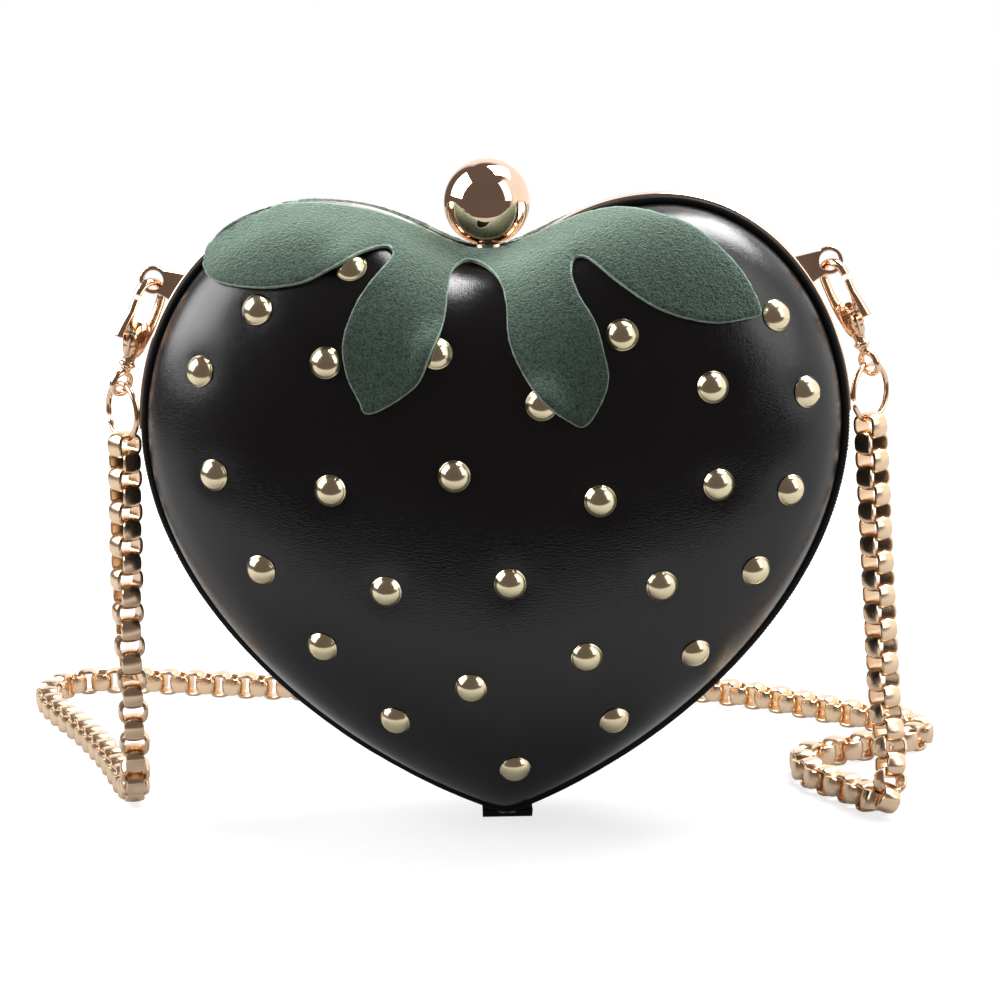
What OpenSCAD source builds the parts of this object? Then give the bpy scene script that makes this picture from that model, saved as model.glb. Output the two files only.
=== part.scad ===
// Heart shaped evening purse: a hinged box of two padded domes with a gold
// rim, a press-down ball clasp, and a box chain strap on two snap clasps.
// Millimetres. X runs across the heart and Z up from the foot; the front
// faces -Y. Each half is drawn as the back one, and the front is its mirror.

/* [Heart box] */
// Width of the heart over its gold rim
heart_w = 182; // [150:1:220]
// Height of the heart from its tip to the top of the lobes
heart_h = 161; // [130:1:200]
// Depth of one half, from the seam to the crown of its dome
half_depth = 38; // [32:0.5:48]
// How full the dome's shoulders are
dome_power = 2.2; // [1.9:0.1:2.8]
// Thickness of the moulded shell
shell_t = 2.4; // [1.6:0.1:3.2]
// Thickness of the padded leather over it
cover_t = 1.5; // [1:0.1:2.2]
// Thickness of the lining
lining_t = 0.8; // [0.5:0.1:1.2]
// Width of the shell's flat rim at the seam
rim_w = 3.2; // [2.6:0.1:4]
// Gap between each half and the seam plane
seam_gap = 0.15; // [0.1:0.01:0.25]

/* [Rim] */
// Depth of one half of the gold rim
frame_d = 5; // [4.4:0.1:6.5]
// Thickness of the gold rim
frame_t = 1.8; // [1.4:0.1:2.4]
// Step of the woven edge tape behind the gold rim's face
tape_step = 0.6; // [0.3:0.1:0.9]
// Radius of the leather piping beside the dome
piping_r = 1.3; // [1:0.05:1.5]
// Distance from the rim's outer face to the piping's middle
piping_in = 2; // [1.8:0.05:2.1]
// Distance from the rim's outer face to the foot of the dome
dome_in = 3.5; // [3.45:0.05:4]

/* [Studs and leaves] */
// Diameter of a domed stud
stud_d = 8; // [6:0.5:9]
// Height of a stud over the leather
stud_h = 2.7; // [2:0.1:3.4]
// Thickness of the felt leaves
leaf_t = 1.4; // [0.8:0.1:1.8]
// Distance of the leaves' top edge from the rim's outer face
leaf_in = 6.2; // [5.6:0.1:8]

/* [Ball clasp] */
// Diameter of the ball
ball_d = 22; // [18:0.5:26]
// How far the ball presses down
press_travel = 1.5; // [1.2:0.1:1.8]
// Diameter of the stem under the ball
stem_d = 3; // [2.4:0.1:3.6]
// Diameter of the bush that guides the stem
bush_d = 6; // [5.4:0.1:6.6]
// Height of the bush's collar over the dip of the rim
collar_h = 1.3; // [1:0.1:1.6]
// Thickness of the clasp's plates
plate_t = 1.6; // [1.2:0.1:2]
// Thickness of the spring strip that the latch holds
strip_t = 0.8; // [0.6:0.05:1]
// Thickness of the latch bar
bar_t = 1.8; // [1.4:0.1:2.2]
// Wire of the ball's spring
spring_wire = 0.5; // [0.4:0.05:0.6]

/* [Hinge] */
// Radius of the hinge's barrel
barrel_r = 1.6; // [1.4:0.05:1.8]
// Radius of the hinge pin
hinge_pin_r = 0.8; // [0.6:0.05:0.9]
// Length of the hinge
hinge_l = 13; // [11:0.5:16]
// Height of the hinge pin over the surface that the purse stands on
hinge_z = 2.6; // [2.5:0.05:3]
// Height of the heart's tip over that surface
tip_z = 1.2; // [1.1:0.05:1.5]
// Thickness of a hinge leaf
leaf_plate_t = 1; // [0.8:0.05:1.2]
// Thickness of the foot plate
foot_t = 0.8; // [0.6:0.05:0.9]

/* [Snap clasps] */
// Outer radius of a lug's eye
lug_r = 3.6; // [3.3:0.05:4]
// Radius of a lug's hole
lug_hole_r = 2.5; // [2.3:0.05:2.6]
// Thickness of a lug
lug_t = 2.4; // [2:0.1:2.6]
// Length of a clasp from its hook's wire to the ring's wire
clasp_l = 28; // [26:0.5:32]
// Outer radius of a clasp's hook
hook_r = 5.4; // [5.2:0.05:6]
// Width of a clasp's wire
hook_wire = 2; // [1.8:0.05:2.1]
// Thickness of a clasp's hook
hook_t = 2.4; // [2:0.1:2.5]
// Thickness of a clasp's body at the gate
body_t = 3.4; // [3.2:0.1:4]
// Mean radius of a split ring
ring_r = 7.25; // [6.5:0.05:7.5]
// Radius of a split ring's wire
ring_wire_r = 0.75; // [0.6:0.05:0.8]

/* [Chain] */
// Width of the box chain
chain_d = 7.3; // [6:0.1:8]

/* [Hidden] */
$fn = 48;
// One overrun serves every cut
over = 1;
// Clearance between pieces that only pass each other
clear = 0.2;
// Clearance of a pin that turns or slides in its hole
run = 0.05;

// The heart's outline, right half, as three curves: dip to lobe, lobe to
// widest point, widest point to tip, in shares of half the width and height
dip_shares = [[0, 0.918], [0.143, 0.918], [0.22, 1], [0.48, 1]];
lobe_shares = [[0.48, 1], [0.764, 1], [1, 0.841], [1, 0.643]];
flank_shares = [[1, 0.643], [1, 0.369], [0.52, 0.105], [0, 0]];
dip_steps = 6;
lobe_steps = 9;
flank_steps = 11;
// The dome's centre and the gold rim's ends, as shares of the height
centre_share = 0.55;
frame_end_share = 0.65;
dome_rows = 8;

// Studs on one face: x as a share of half the width, z of the height
stud_shares = [
    [-0.62, 0.85], [-0.36, 0.895], [0.37, 0.80], [0.79, 0.815],
    [-0.79, 0.755], [-0.43, 0.77], [-0.13, 0.78], [0.15, 0.70],
    [0.61, 0.715], [0.87, 0.695], [-0.76, 0.595], [-0.43, 0.575],
    [-0.09, 0.595], [0.30, 0.55], [0.62, 0.565], [0.82, 0.545],
    [-0.64, 0.445], [-0.29, 0.415], [0.05, 0.425], [0.46, 0.41],
    [0.72, 0.42], [-0.48, 0.32], [0.25, 0.30], [0.55, 0.29],
    [-0.07, 0.255], [-0.29, 0.195], [0.32, 0.185], [0.04, 0.11]
];
// Studs that a leaf's edge lies round
leaf_stud_picks = [1, 6, 7];

// The four leaves, x as a share of half the width, z of the height
left_leaf_shares = [
    [-0.79, 0.905], [-0.74, 0.95], [-0.62, 0.99], [-0.45, 1], [-0.26, 0.98],
    [-0.1, 0.94], [0, 0.92], [-0.06, 0.9], [-0.24, 0.925], [-0.3, 0.93],
    [-0.42, 0.9], [-0.5, 0.885], [-0.6, 0.88], [-0.72, 0.89]
];
middle_left_leaf_shares = [
    [-0.23, 0.93], [-0.31, 0.885], [-0.37, 0.82], [-0.38, 0.77],
    [-0.36, 0.72], [-0.32, 0.692], [-0.25, 0.705], [-0.18, 0.74],
    [-0.14, 0.78], [-0.11, 0.82], [-0.1, 0.87], [-0.07, 0.9], [0, 0.9],
    [0, 0.93]
];
middle_right_leaf_shares = [
    [0, 0.92], [0, 0.885], [0.05, 0.86], [0.06, 0.8], [0.1, 0.74],
    [0.17, 0.695], [0.26, 0.665], [0.31, 0.69], [0.33, 0.73], [0.32, 0.78],
    [0.29, 0.83], [0.25, 0.87], [0.23, 0.895], [0.26, 0.92], [0.15, 0.935]
];
right_leaf_shares = [
    [0, 0.9], [0.26, 0.905], [0.36, 0.875], [0.45, 0.84], [0.54, 0.82],
    [0.64, 0.808], [0.75, 0.82], [0.72, 0.87], [0.68, 0.91], [0.61, 0.95],
    [0.5, 0.985], [0.36, 0.99], [0.2, 0.96], [0.08, 0.94], [0, 0.93]
];

// Ball clasp, worked out downwards from the dip of the rim
dip_z = tip_z + dip_shares[0].y * heart_h;
centre_z = tip_z + centre_share * heart_h;
collar_z = dip_z + collar_h;
ball_r = ball_d / 2;
ball_lift = 1;
ball_z = dip_z + ball_r + ball_lift;
recess_gap = 0.4;
recess_r = bush_d / 2 + recess_gap;
spring_l = 3.7;
spring_turns = 3;
spring_rings = 12;
spring_sides = 6;
recess_z = collar_z + spring_l;
stem_top = 2.5;
bridge_drop = 9;
bridge_z = dip_z - bridge_drop;
bridge_w = 24;
bridge_y0 = 1.2;
bridge_y1 = 8;
bush_below = 1;
bush_z = bridge_z - plate_t - bush_below;
screw_x = 8;
screw_y = 5.5;
screw_r = 1;
screw_head_r = 1.9;
screw_head_t = 1.2;
screw_bite = 3.4;
clip_t = 0.8;
clip_r = 2.8;
clip_gap = 0.1;
// The strip's tongues lie this far under the bush's plate
tongue_drop = 2.8;
tongue_z = bridge_z - tongue_drop - strip_t;
tongue_x0 = 4;
tongue_x1 = 6.6;
tongue_y1 = 3.2;
strip_w = 14;
strip_y0 = 8;
strip_y1 = 4.2;
tooth_gap = 0.3;
tooth_x0 = tongue_x0 + strip_t;
tooth_x1 = tongue_x1 - strip_t;
tooth_y0 = 0.8;
tooth_y1 = 2.2;
tooth_over = 0.4;
bar_gap = 1.2;
bar_z = tongue_z - bar_gap;
bar_y0 = 1.9;
bar_y1 = 3;
nut_r = 2.5;
nut_t = 1.8;
catch_rivet_x = 3.2;
catch_rivet_y = 6.3;
catch_rivet_r = 0.9;
catch_head_r = 1.3;
catch_head_t = 0.6;

// Hinge
hinge_gap = 0.1;
knuckle_w = 4.2;
hinge_room = 0.6;
leaf_plate_h = 7;
leaf_plate_w = hinge_l - knuckle_w / 4;
rivet_x = 4;
rivet_r = 0.8;
rivet_up = 4.2;
foot_y0 = 1.5;
foot_y1 = 4;

// Lugs and snap clasps, right side; the left ones are mirrored
lug_x = 86.2 / 91 * heart_w / 2;
lug_z_share = 0.884;
lug_z = tip_z + lug_z_share * heart_h;
lug_y0 = 0.4;
lug_mid_y = lug_y0 + lug_t / 2;
lug_root_shares = [[0.84, 0.83], [0.76, 0.88]];
lug_arm = 3;
// The hook's wire hangs this far under the middle of the lug's hole
wire_drop = 0.5;
clasp_turn = 20;
clasp_lean = 21;
opening_l = 5;
bulb_r = 3.9;
bulb_drop = 15.5;
neck_w = 2.6;
tail_r = 3.7;
tail_hole_r = 2.35;
tail_t = 1.8;
tail_rise = 0.2;
gate_w = 1.8;
gate_gap = 0.15;
gate_t = 2.1;
gate_slot_t = 2.3;
gate_pivot = [-2.6, -14];
gate_knuckle_r = 1.7;
gate_root_shares = [[-0.8, -0.25], [-0.05, 0.8]];
gate_pin_r = 0.7;
gate_top = -5.1;
hook_end = -4.65;
gate_window = -11.8;
ring_turn = 55;
ring_gap_angle = 8;
ring_gap_place = 300;

// End links
link_hole_r = 1.95;
link_t = 3.4;
link_drop = -0.05;
link_stub_r = 2.2;
link_stub = 4.4;

hook_pivot = [lug_x, lug_mid_y, lug_z - wire_drop];
ring_top = hook_pivot + clasp_l * [sin(clasp_lean), 0, -cos(clasp_lean)];
ring_centre = ring_top - [0, 0, ring_r];
link_centre = ring_centre - [0, 0, ring_r + link_drop];
link_foot = link_centre - [0, 0, link_stub];

// Chain: points chosen by hand along its run, its middle on the surface
cord_r = chain_d / 2;
cord_sides = 8;
cord_cuts = 3;
left_points = [
    [-97, 2, 84], [-98, 2, 58], [-98, 2, 34], [-99, 5, 14], [-103, 20, 4],
    [-114, 50, 3.7], [-127, 80, 3.7], [-143, 112, 3.7], [-148, 132, 3.7],
    [-140, 145, 3.7], [-119, 144, 3.7], [-90, 136, 3.7], [-60, 130, 3.7],
    [-30, 131, 3.7], [-12, 131, 3.7]
];
right_points = [
    [24, 131, 9], [40, 126, 4], [56, 117, 3.7], [74, 105, 3.7],
    [96, 85, 3.7], [112, 71, 3.7], [112, 57, 3.7], [96, 48, 3.7],
    [81, 38, 3.7], [81, 22, 3.7], [91, 5, 3.7], [98, -8, 4.5],
    [100, -4, 15], [99, 1, 30], [98, 2, 56], [97, 2, 82]
];
coil_centre = [5, 100, 3.2];
coil_r = 31;
coil_pitch = 8.2;
coil_lift = 8;
coil_rings = 24;
coil_sides = 6;

function bezier(p, t) = pow(1 - t, 3) * p[0] + 3 * pow(1 - t, 2) * t * p[1]
    + 3 * (1 - t) * t * t * p[2] + pow(t, 3) * p[3];
function place(p) = [p.x * heart_w / 2, tip_z + p.y * heart_h];
function curve(p, n) = [for (i = [0:n - 1]) place(bezier(p, i / n))];
function flip(p) = [for (i = [len(p) - 1:-1:0]) [-p[i].x, p[i].y]];
function tail(p) = [for (i = [1:len(p) - 1]) p[i]];
function inward(a, b) = let(e = (b - a) / norm(b - a)) [e.y, -e.x];
function inset(p, d) = [
    for (i = [0:len(p) - 1])
    let(n = len(p), a = inward(p[(i + n - 1) % n], p[i]), b = inward(p[i], p[(i + 1) % n]))
    p[i] + d * (a + b) / (1 + a * b)
];
right_side = concat(
    curve(dip_shares, dip_steps), curve(lobe_shares, lobe_steps),
    curve(flank_shares, flank_steps)
);
outline = concat(right_side, [[0, tip_z]], flip(tail(right_side)));
sides = len(outline);

// A layer's dome is its outline drawn in towards the centre while it rises
cover_line = inset(outline, dome_in);
shell_line = inset(outline, dome_in + cover_t);
hollow_line = inset(outline, dome_in + cover_t + shell_t);
lining_line = inset(outline, dome_in + cover_t + shell_t + lining_t);
cover_rise = half_depth - frame_d;
shell_rise = cover_rise - cover_t;
hollow_rise = shell_rise - shell_t;
lining_rise = hollow_rise - lining_t;
row_shares = [for (j = [0:dome_rows - 1]) cos(90 * j / dome_rows)];

function swell(s) = pow(1 - pow(min(s, 1), dome_power), 1 / dome_power);
function ring_at(line, y) = [for (p = line) [p.x, y, p.y]];
function dome_row(line, rise, s) = [
    for (p = line) [s * p.x, frame_d + rise * swell(s), centre_z + s * (p.y - centre_z)]
];
function dome_down(line, rise) = [
    for (j = [dome_rows - 1:-1:0]) dome_row(line, rise, row_shares[j])
];
function dome_up(line, rise) = [
    for (j = [0:dome_rows - 1]) dome_row(line, rise, row_shares[j])
];
function crown(rise) = [0, frame_d + rise, centre_z];

// Height and direction of the leather's face over a point of the seam plane
radius_table = [
    for (i = [sides / 2:-1:0])
    let(p = cover_line[i] - [0, centre_z]) [atan2(p.y, p.x), norm(p)]
];
function reach(x, z) = norm([x, z]) / lookup(atan2(z, abs(x)), radius_table);
function face_y(x, z) = frame_d + cover_rise * swell(reach(x, z - centre_z));
probe = 0.05;
function face_point(q) = [q.x, face_y(q.x, q.y), q.y];
function face_normal(q) = let(
    gx = (face_y(q.x + probe, q.y) - face_y(q.x - probe, q.y)) / (2 * probe),
    gz = (face_y(q.x, q.y + probe) - face_y(q.x, q.y - probe)) / (2 * probe),
    n = [-gx, 1, -gz]
) n / norm(n);

// Skins: a stack of equal rings closed by a point at each end, or a loop
function flat(v) = [for (a = v) for (b = a) b];
function band(a, b, n) = [
    for (i = [0:n - 1]) let(j = (i + 1) % n)
    each [[a + i, a + j, b + j], [a + i, b + j, b + i]]
];
function bands(count, n, start) = [
    for (k = [0:count - 2]) each band(start + k * n, start + (k + 1) * n, n)
];
module skin(rings, top, bottom) {
    n = len(rings[0]);
    last = len(rings) * n + 1;
    points = concat([top], flat(rings), [bottom]);
    faces = concat(
        [for (i = [0:n - 1]) [0, 1 + (i + 1) % n, 1 + i]],
        bands(len(rings), n, 1),
        [for (i = [0:n - 1]) [last - n + i, last - n + (i + 1) % n, last]]
    );
    polyhedron(points = points, faces = faces, convexity = 10);
}
module loop_skin(rings) {
    n = len(rings[0]);
    faces = concat(bands(len(rings), n, 0), band((len(rings) - 1) * n, 0, n));
    polyhedron(points = flat(rings), faces = faces, convexity = 10);
}

// A tube swept along points, with its two end directions given
function unit(v) = v / norm(v);
function catmull(p, i, t) = let(
    a = p[max(i - 1, 0)], b = p[i], c = p[i + 1], d = p[min(i + 2, len(p) - 1)]
) (2 * b + (c - a) * t + (2 * a - 5 * b + 4 * c - d) * t * t
    + (3 * b - a - 3 * c + d) * t * t * t) / 2;
function smooth(p, k) = concat(
    [for (i = [0:len(p) - 2]) for (j = [0:k - 1]) catmull(p, i, j / k)],
    [p[len(p) - 1]]
);
function heading(p, first, last) = [
    for (i = [0:len(p) - 1])
    i == 0 ? first : i == len(p) - 1 ? last : unit(p[i + 1] - p[i - 1])
];
function carry(t, i, s) = i == len(t) ? []
    : let(n = unit(s - (s * t[i]) * t[i])) concat([n], carry(t, i + 1, n));
module tube(p, r, n, first, last, side) {
    t = heading(p, first, last);
    s = carry(t, 0, side);
    points = [
        for (i = [0:len(p) - 1]) for (k = [0:n - 1])
        let(a = 360 * (k + 1 / 2) / n) p[i] + r * (cos(a) * s[i] + sin(a) * cross(t[i], s[i]))
    ];
    end = (len(p) - 1) * n;
    faces = concat(
        [for (i = [0:len(p) - 2]) for (k = [0:n - 1])
            let(a = i * n + k, b = i * n + (k + 1) % n)
            each [[a, a + n, b + n], [a, b + n, b]]],
        [for (k = [1:n - 2]) [0, k, k + 1]],
        [for (k = [1:n - 2]) [end, end + k + 1, end + k]]
    );
    polyhedron(points = points, faces = faces, convexity = 10);
}

// A flat outline in the XZ plane, from one depth to another
module slab(y0, y1) {
    translate([0, y1, 0])
        rotate([90, 0, 0])
            linear_extrude(y1 - y0)
                children();
}
module bar_x(x0, x1, r) {
    rotate([0, 90, 0])
        translate([0, 0, x0])
            cylinder(r = r, h = x1 - x0);
}
module rod_y(x, z, y0, y1, r) {
    translate([x, y1, z])
        rotate([90, 0, 0])
            cylinder(r = r, h = y1 - y0);
}
module rod_z(x, y, z0, z1, r) {
    translate([x, y, z0])
        cylinder(r = r, h = z1 - z0);
}
module block(low, high) {
    translate(low)
        cube(high - low);
}
module both_sides() {
    children();
    mirror([1, 0, 0])
        children();
}
module front() {
    mirror([0, 1, 0])
        children();
}

// Cuts that a half's pieces share
module hinge_room_cut() {
    translate([0, 0, hinge_z])
        bar_x(-hinge_l / 2 - hinge_room, hinge_l / 2 + hinge_room, foot_reach);
}
foot_reach = norm([foot_y0, hinge_z]) + clear;
module leaf_room_cut() {
    block(
        [-leaf_plate_w / 2 - clear, -over, hinge_z],
        [leaf_plate_w / 2 + clear, seam_gap + leaf_plate_t + run, leaf_top + clear]
    );
    for (x = [-rivet_x, rivet_x])
        rod_y(x, rivet_z, 0, frame_d, rivet_r);
}
leaf_bottom = hinge_z + barrel_r + clear;
leaf_top = leaf_bottom + leaf_plate_h;
rivet_z = leaf_bottom + rivet_up;
module bush_room_cut(extra) {
    rod_z(0, 0, bush_z - over, ball_z, bush_d / 2 + extra);
}
module ball_seat_cut() {
    translate([0, 0, ball_z - press_travel])
        sphere(r = ball_r + clear);
}
screw_top = bridge_z + screw_bite;

// One half, drawn at the back
module shell_half() {
    difference() {
        skin(
            concat(
                dome_down(shell_line, shell_rise),
                [ring_at(inset(outline, frame_t), frame_d)],
                [ring_at(inset(outline, frame_t), seam_gap)],
                [ring_at(inset(outline, frame_t + rim_w), seam_gap)],
                dome_up(hollow_line, hollow_rise)
            ),
            crown(shell_rise), crown(hollow_rise)
        );
        hinge_room_cut();
        leaf_room_cut();
        children();
    }
}
module cover_half() {
    skin(
        concat(dome_down(cover_line, cover_rise), dome_up(shell_line, shell_rise)),
        crown(cover_rise), crown(shell_rise)
    );
}
module lining_half() {
    difference() {
        skin(
            concat(
                dome_down(hollow_line, hollow_rise),
                [ring_at(inset(outline, frame_t + rim_w), seam_gap)],
                [ring_at(inset(outline, frame_t + rim_w + lining_t), seam_gap)],
                dome_up(lining_line, lining_rise)
            ),
            crown(hollow_rise), crown(lining_rise)
        );
        leaf_room_cut();
        children();
    }
}
piping_sides = 8;
module piping_half() {
    middle = frame_d + piping_r * cos(180 / piping_sides);
    loop_skin([
        for (k = [0:piping_sides - 1])
        let(a = 360 * (k + 1 / 2) / piping_sides)
        ring_at(inset(outline, piping_in + piping_r * cos(a)), middle + piping_r * sin(a))
    ]);
}
frame_end = tip_z + frame_end_share * heart_h;
module above_frame_end() {
    translate([-heart_w, frame_end])
        square([2 * heart_w, heart_h]);
}
module frame_half() {
    difference() {
        slab(seam_gap, frame_d)
            difference() {
                intersection() {
                    polygon(outline);
                    above_frame_end();
                }
                polygon(inset(outline, frame_t));
            }
        ball_seat_cut();
        children();
    }
}
module edge_tape_half() {
    difference() {
        slab(seam_gap, frame_d)
            difference() {
                polygon(inset(outline, tape_step));
                polygon(inset(outline, frame_t));
                above_frame_end();
            }
        hinge_room_cut();
    }
}
module leaf_shapes() {
    for (shares = [left_leaf_shares, middle_left_leaf_shares,
            middle_right_leaf_shares, right_leaf_shares])
        polygon([for (p = shares) place(p)]);
}
module leaves_half() {
    difference() {
        intersection() {
            skin(
                concat(
                    dome_down(inset(outline, dome_in - leaf_t), cover_rise + leaf_t),
                    dome_up(cover_line, cover_rise)
                ),
                crown(cover_rise + leaf_t), crown(cover_rise)
            );
            slab(frame_d, half_depth + leaf_t + over)
                intersection() {
                    leaf_shapes();
                    polygon(inset(outline, leaf_in));
                }
        }
        for (i = leaf_stud_picks)
            on_face(place(stud_shares[i]))
                rod_z(0, 0, -stud_h, stud_h + over, stud_d / 2 + clear);
    }
}
module on_face(q) {
    n = face_normal(q);
    translate(face_point(q))
        rotate([0, acos(n.z), atan2(n.y, n.x)])
            children();
}
module stud() {
    r = (stud_d * stud_d / 4 + stud_h * stud_h) / (2 * stud_h);
    intersection() {
        translate([0, 0, stud_h - r])
            sphere(r = r);
        block([-stud_d, -stud_d, 0], [stud_d, stud_d, stud_d]);
    }
}
module studs_half() {
    for (p = stud_shares)
        on_face(place(p))
            stud();
}
module hinge_rivets_half() {
    for (x = [-rivet_x, rivet_x])
        rod_y(x, rivet_z, seam_gap, frame_d, rivet_r);
}
module leaf_plate_half() {
    difference() {
        block(
            [-leaf_plate_w / 2, seam_gap, leaf_bottom],
            [leaf_plate_w / 2, seam_gap + leaf_plate_t, leaf_top]
        );
        for (x = [-rivet_x, rivet_x])
            rod_y(x, rivet_z, 0, frame_d, rivet_r);
    }
}
module back_shell() {
    color("dimgray")
        shell_half() {
            bush_room_cut(0);
            for (x = [-screw_x, screw_x])
                rod_z(x, screw_y, bush_z, screw_top, screw_r);
        }
}
module back_cover() {
    color("#1c1c1f")
        cover_half();
}
module back_lining() {
    color("rosybrown")
        lining_half() {
            bush_room_cut(0);
            for (x = [-screw_x, screw_x])
                rod_z(x, screw_y, bush_z, screw_top, screw_r);
        }
}
module back_piping() {
    color("#101012")
        piping_half();
}
module back_frame() {
    color("goldenrod")
        frame_half()
            bush_room_cut(0);
}
module back_edge_tape() {
    color("#2a2a2c")
        edge_tape_half();
}
module back_leaves() {
    color("seagreen")
        leaves_half();
}
module back_studs() {
    color("khaki")
        studs_half();
}
module front_shell() {
    color("gray")
        front()
            shell_half() {
                bush_room_cut(recess_gap);
                catch_rivet_rods();
            }
}
module front_cover() {
    color("#26262a")
        front()
            cover_half();
}
module front_lining() {
    color("pink")
        front()
            lining_half() {
                bush_room_cut(recess_gap);
                catch_rivet_rods();
            }
}
module front_piping() {
    color("#151518")
        front()
            piping_half();
}
module front_frame() {
    color("gold")
        front()
            frame_half()
                bush_room_cut(recess_gap);
}
module front_edge_tape() {
    color("#333336")
        front()
            edge_tape_half();
}
module front_leaves() {
    color("mediumseagreen")
        front()
            leaves_half();
}
module front_studs() {
    color("palegoldenrod")
        front()
            studs_half();
}

// Hinge at the tip, on one pin along X
module knuckle(x0, x1) {
    difference() {
        union() {
            translate([0, 0, hinge_z])
                bar_x(x0, x1, barrel_r);
            block([x0, seam_gap, hinge_z], [x1, seam_gap + leaf_plate_t, leaf_bottom + run]);
        }
        translate([0, 0, hinge_z])
            bar_x(x0 - over, x1 + over, hinge_pin_r + run);
    }
}
module hinge_leaf_back() {
    color("silver") {
        leaf_plate_half();
        both_sides()
            difference() {
                union() {
                    knuckle(knuckle_w / 2 + hinge_gap, hinge_l / 2);
                    block(
                        [knuckle_w / 2 + hinge_gap, -foot_y0, 0],
                        [hinge_l / 2, barrel_r, hinge_z - hinge_pin_r - clear]
                    );
                }
                translate([0, 0, hinge_z])
                    bar_x(0, hinge_l, hinge_pin_r + run);
            }
        block([-hinge_l / 2, -foot_y0, 0], [hinge_l / 2, foot_y1, foot_t]);
    }
}
module hinge_leaf_front() {
    color("lightgray")
        front() {
            leaf_plate_half();
            knuckle(-knuckle_w / 2, knuckle_w / 2);
        }
}
module hinge_pin() {
    color("slategray")
        translate([0, 0, hinge_z])
            bar_x(-hinge_l / 2, hinge_l / 2, hinge_pin_r);
}
module hinge_rivets_back() {
    color("dimgray")
        hinge_rivets_half();
}
module hinge_rivets_front() {
    color("gray")
        front()
            hinge_rivets_half();
}

// Ball clasp
module clasp_bridge() {
    color("orange")
        difference() {
            union() {
                rod_z(0, 0, bush_z, collar_z, bush_d / 2);
                block(
                    [-bridge_w / 2, bridge_y0, bridge_z - plate_t],
                    [bridge_w / 2, bridge_y1, bridge_z]
                );
            }
            rod_z(0, 0, bush_z - over, collar_z + over, stem_d / 2 + run);
            for (x = [-screw_x, screw_x])
                rod_z(x, screw_y, bush_z - over, bridge_z + over, screw_r);
        }
}
module clasp_screws() {
    color("white")
        for (x = [-screw_x, screw_x]) {
            rod_z(x, screw_y, bridge_z - plate_t, screw_top, screw_r);
            rod_z(x, screw_y, bridge_z - plate_t - screw_head_t, bridge_z - plate_t, screw_head_r);
        }
}
spring_coil_r = (stem_d / 2 + recess_r) / 2;
module ball_spring() {
    rise = spring_l - spring_wire;
    count = spring_turns * spring_rings;
    color("lightblue")
        tube(
            [for (i = [0:count])
                let(a = 360 * i / spring_rings)
                [spring_coil_r * cos(a), spring_coil_r * sin(a),
                    collar_z + spring_wire / 2 + rise * i / count]],
            spring_wire / 2, spring_sides, [0, 1, 0],
            unit([0, 1, 0]), [0, 0, 1]
        );
}
module ball() {
    color("darkorange")
        difference() {
            translate([0, 0, ball_z])
                sphere(r = ball_r, $fn = 96);
            rod_z(0, 0, dip_z - over, recess_z, recess_r);
            rod_z(0, 0, dip_z - over, ball_z + stem_top, stem_d / 2);
        }
}
module ball_stem() {
    color("lightsteelblue")
        rod_z(0, 0, bar_z - bar_t - nut_t, ball_z + stem_top, stem_d / 2);
}
module stem_clip() {
    color("red")
        difference() {
            rod_z(0, 0, bush_z - clip_gap - clip_t, bush_z - clip_gap, clip_r);
            rod_z(0, 0, bush_z - over - clip_t, bush_z, stem_d / 2);
        }
}
module latch_bar() {
    color("tomato")
        difference() {
            union() {
                block(
                    [-strip_w / 2, -bar_y0, bar_z - bar_t],
                    [strip_w / 2, bar_y1, bar_z]
                );
                both_sides()
                    block(
                        [tooth_x0 + tooth_gap, tooth_y0, bar_z - bar_t / 2],
                        [tooth_x1 - tooth_gap, tooth_y1, tongue_z + strip_t + tooth_over]
                    );
            }
            rod_z(0, 0, bar_z - bar_t - over, bar_z + over, stem_d / 2);
        }
}
module latch_nut() {
    color("firebrick")
        difference() {
            rod_z(0, 0, bar_z - bar_t - nut_t, bar_z - bar_t, nut_r);
            rod_z(0, 0, bar_z - bar_t - nut_t - over, bar_z, stem_d / 2);
        }
}
module catch_strip() {
    color("skyblue")
        difference() {
            union() {
                block([-strip_w / 2, -strip_y0, bridge_z - strip_t], [strip_w / 2, -strip_y1, bridge_z]);
                block(
                    [-strip_w / 2, -strip_y1 - strip_t, tongue_z],
                    [strip_w / 2, -strip_y1, bridge_z]
                );
                both_sides()
                    block(
                        [tongue_x0, -strip_y1 - strip_t, tongue_z],
                        [tongue_x1, tongue_y1, tongue_z + strip_t]
                    );
            }
            both_sides()
                block(
                    [tooth_x0, tooth_y0 - tooth_gap, tongue_z - over],
                    [tooth_x1, tooth_y1 + tooth_gap, tongue_z + strip_t + over]
                );
            front()
                catch_rivet_rods();
        }
}
module catch_rivet_rods() {
    for (x = [-catch_rivet_x, catch_rivet_x])
        rod_z(x, catch_rivet_y, bridge_z - strip_t, screw_top, catch_rivet_r);
}
module catch_rivets() {
    color("white")
        front() {
            catch_rivet_rods();
            for (x = [-catch_rivet_x, catch_rivet_x])
                rod_z(
                    x, catch_rivet_y, bridge_z - strip_t - catch_head_t,
                    bridge_z - strip_t, catch_head_r
                );
        }
}

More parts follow.
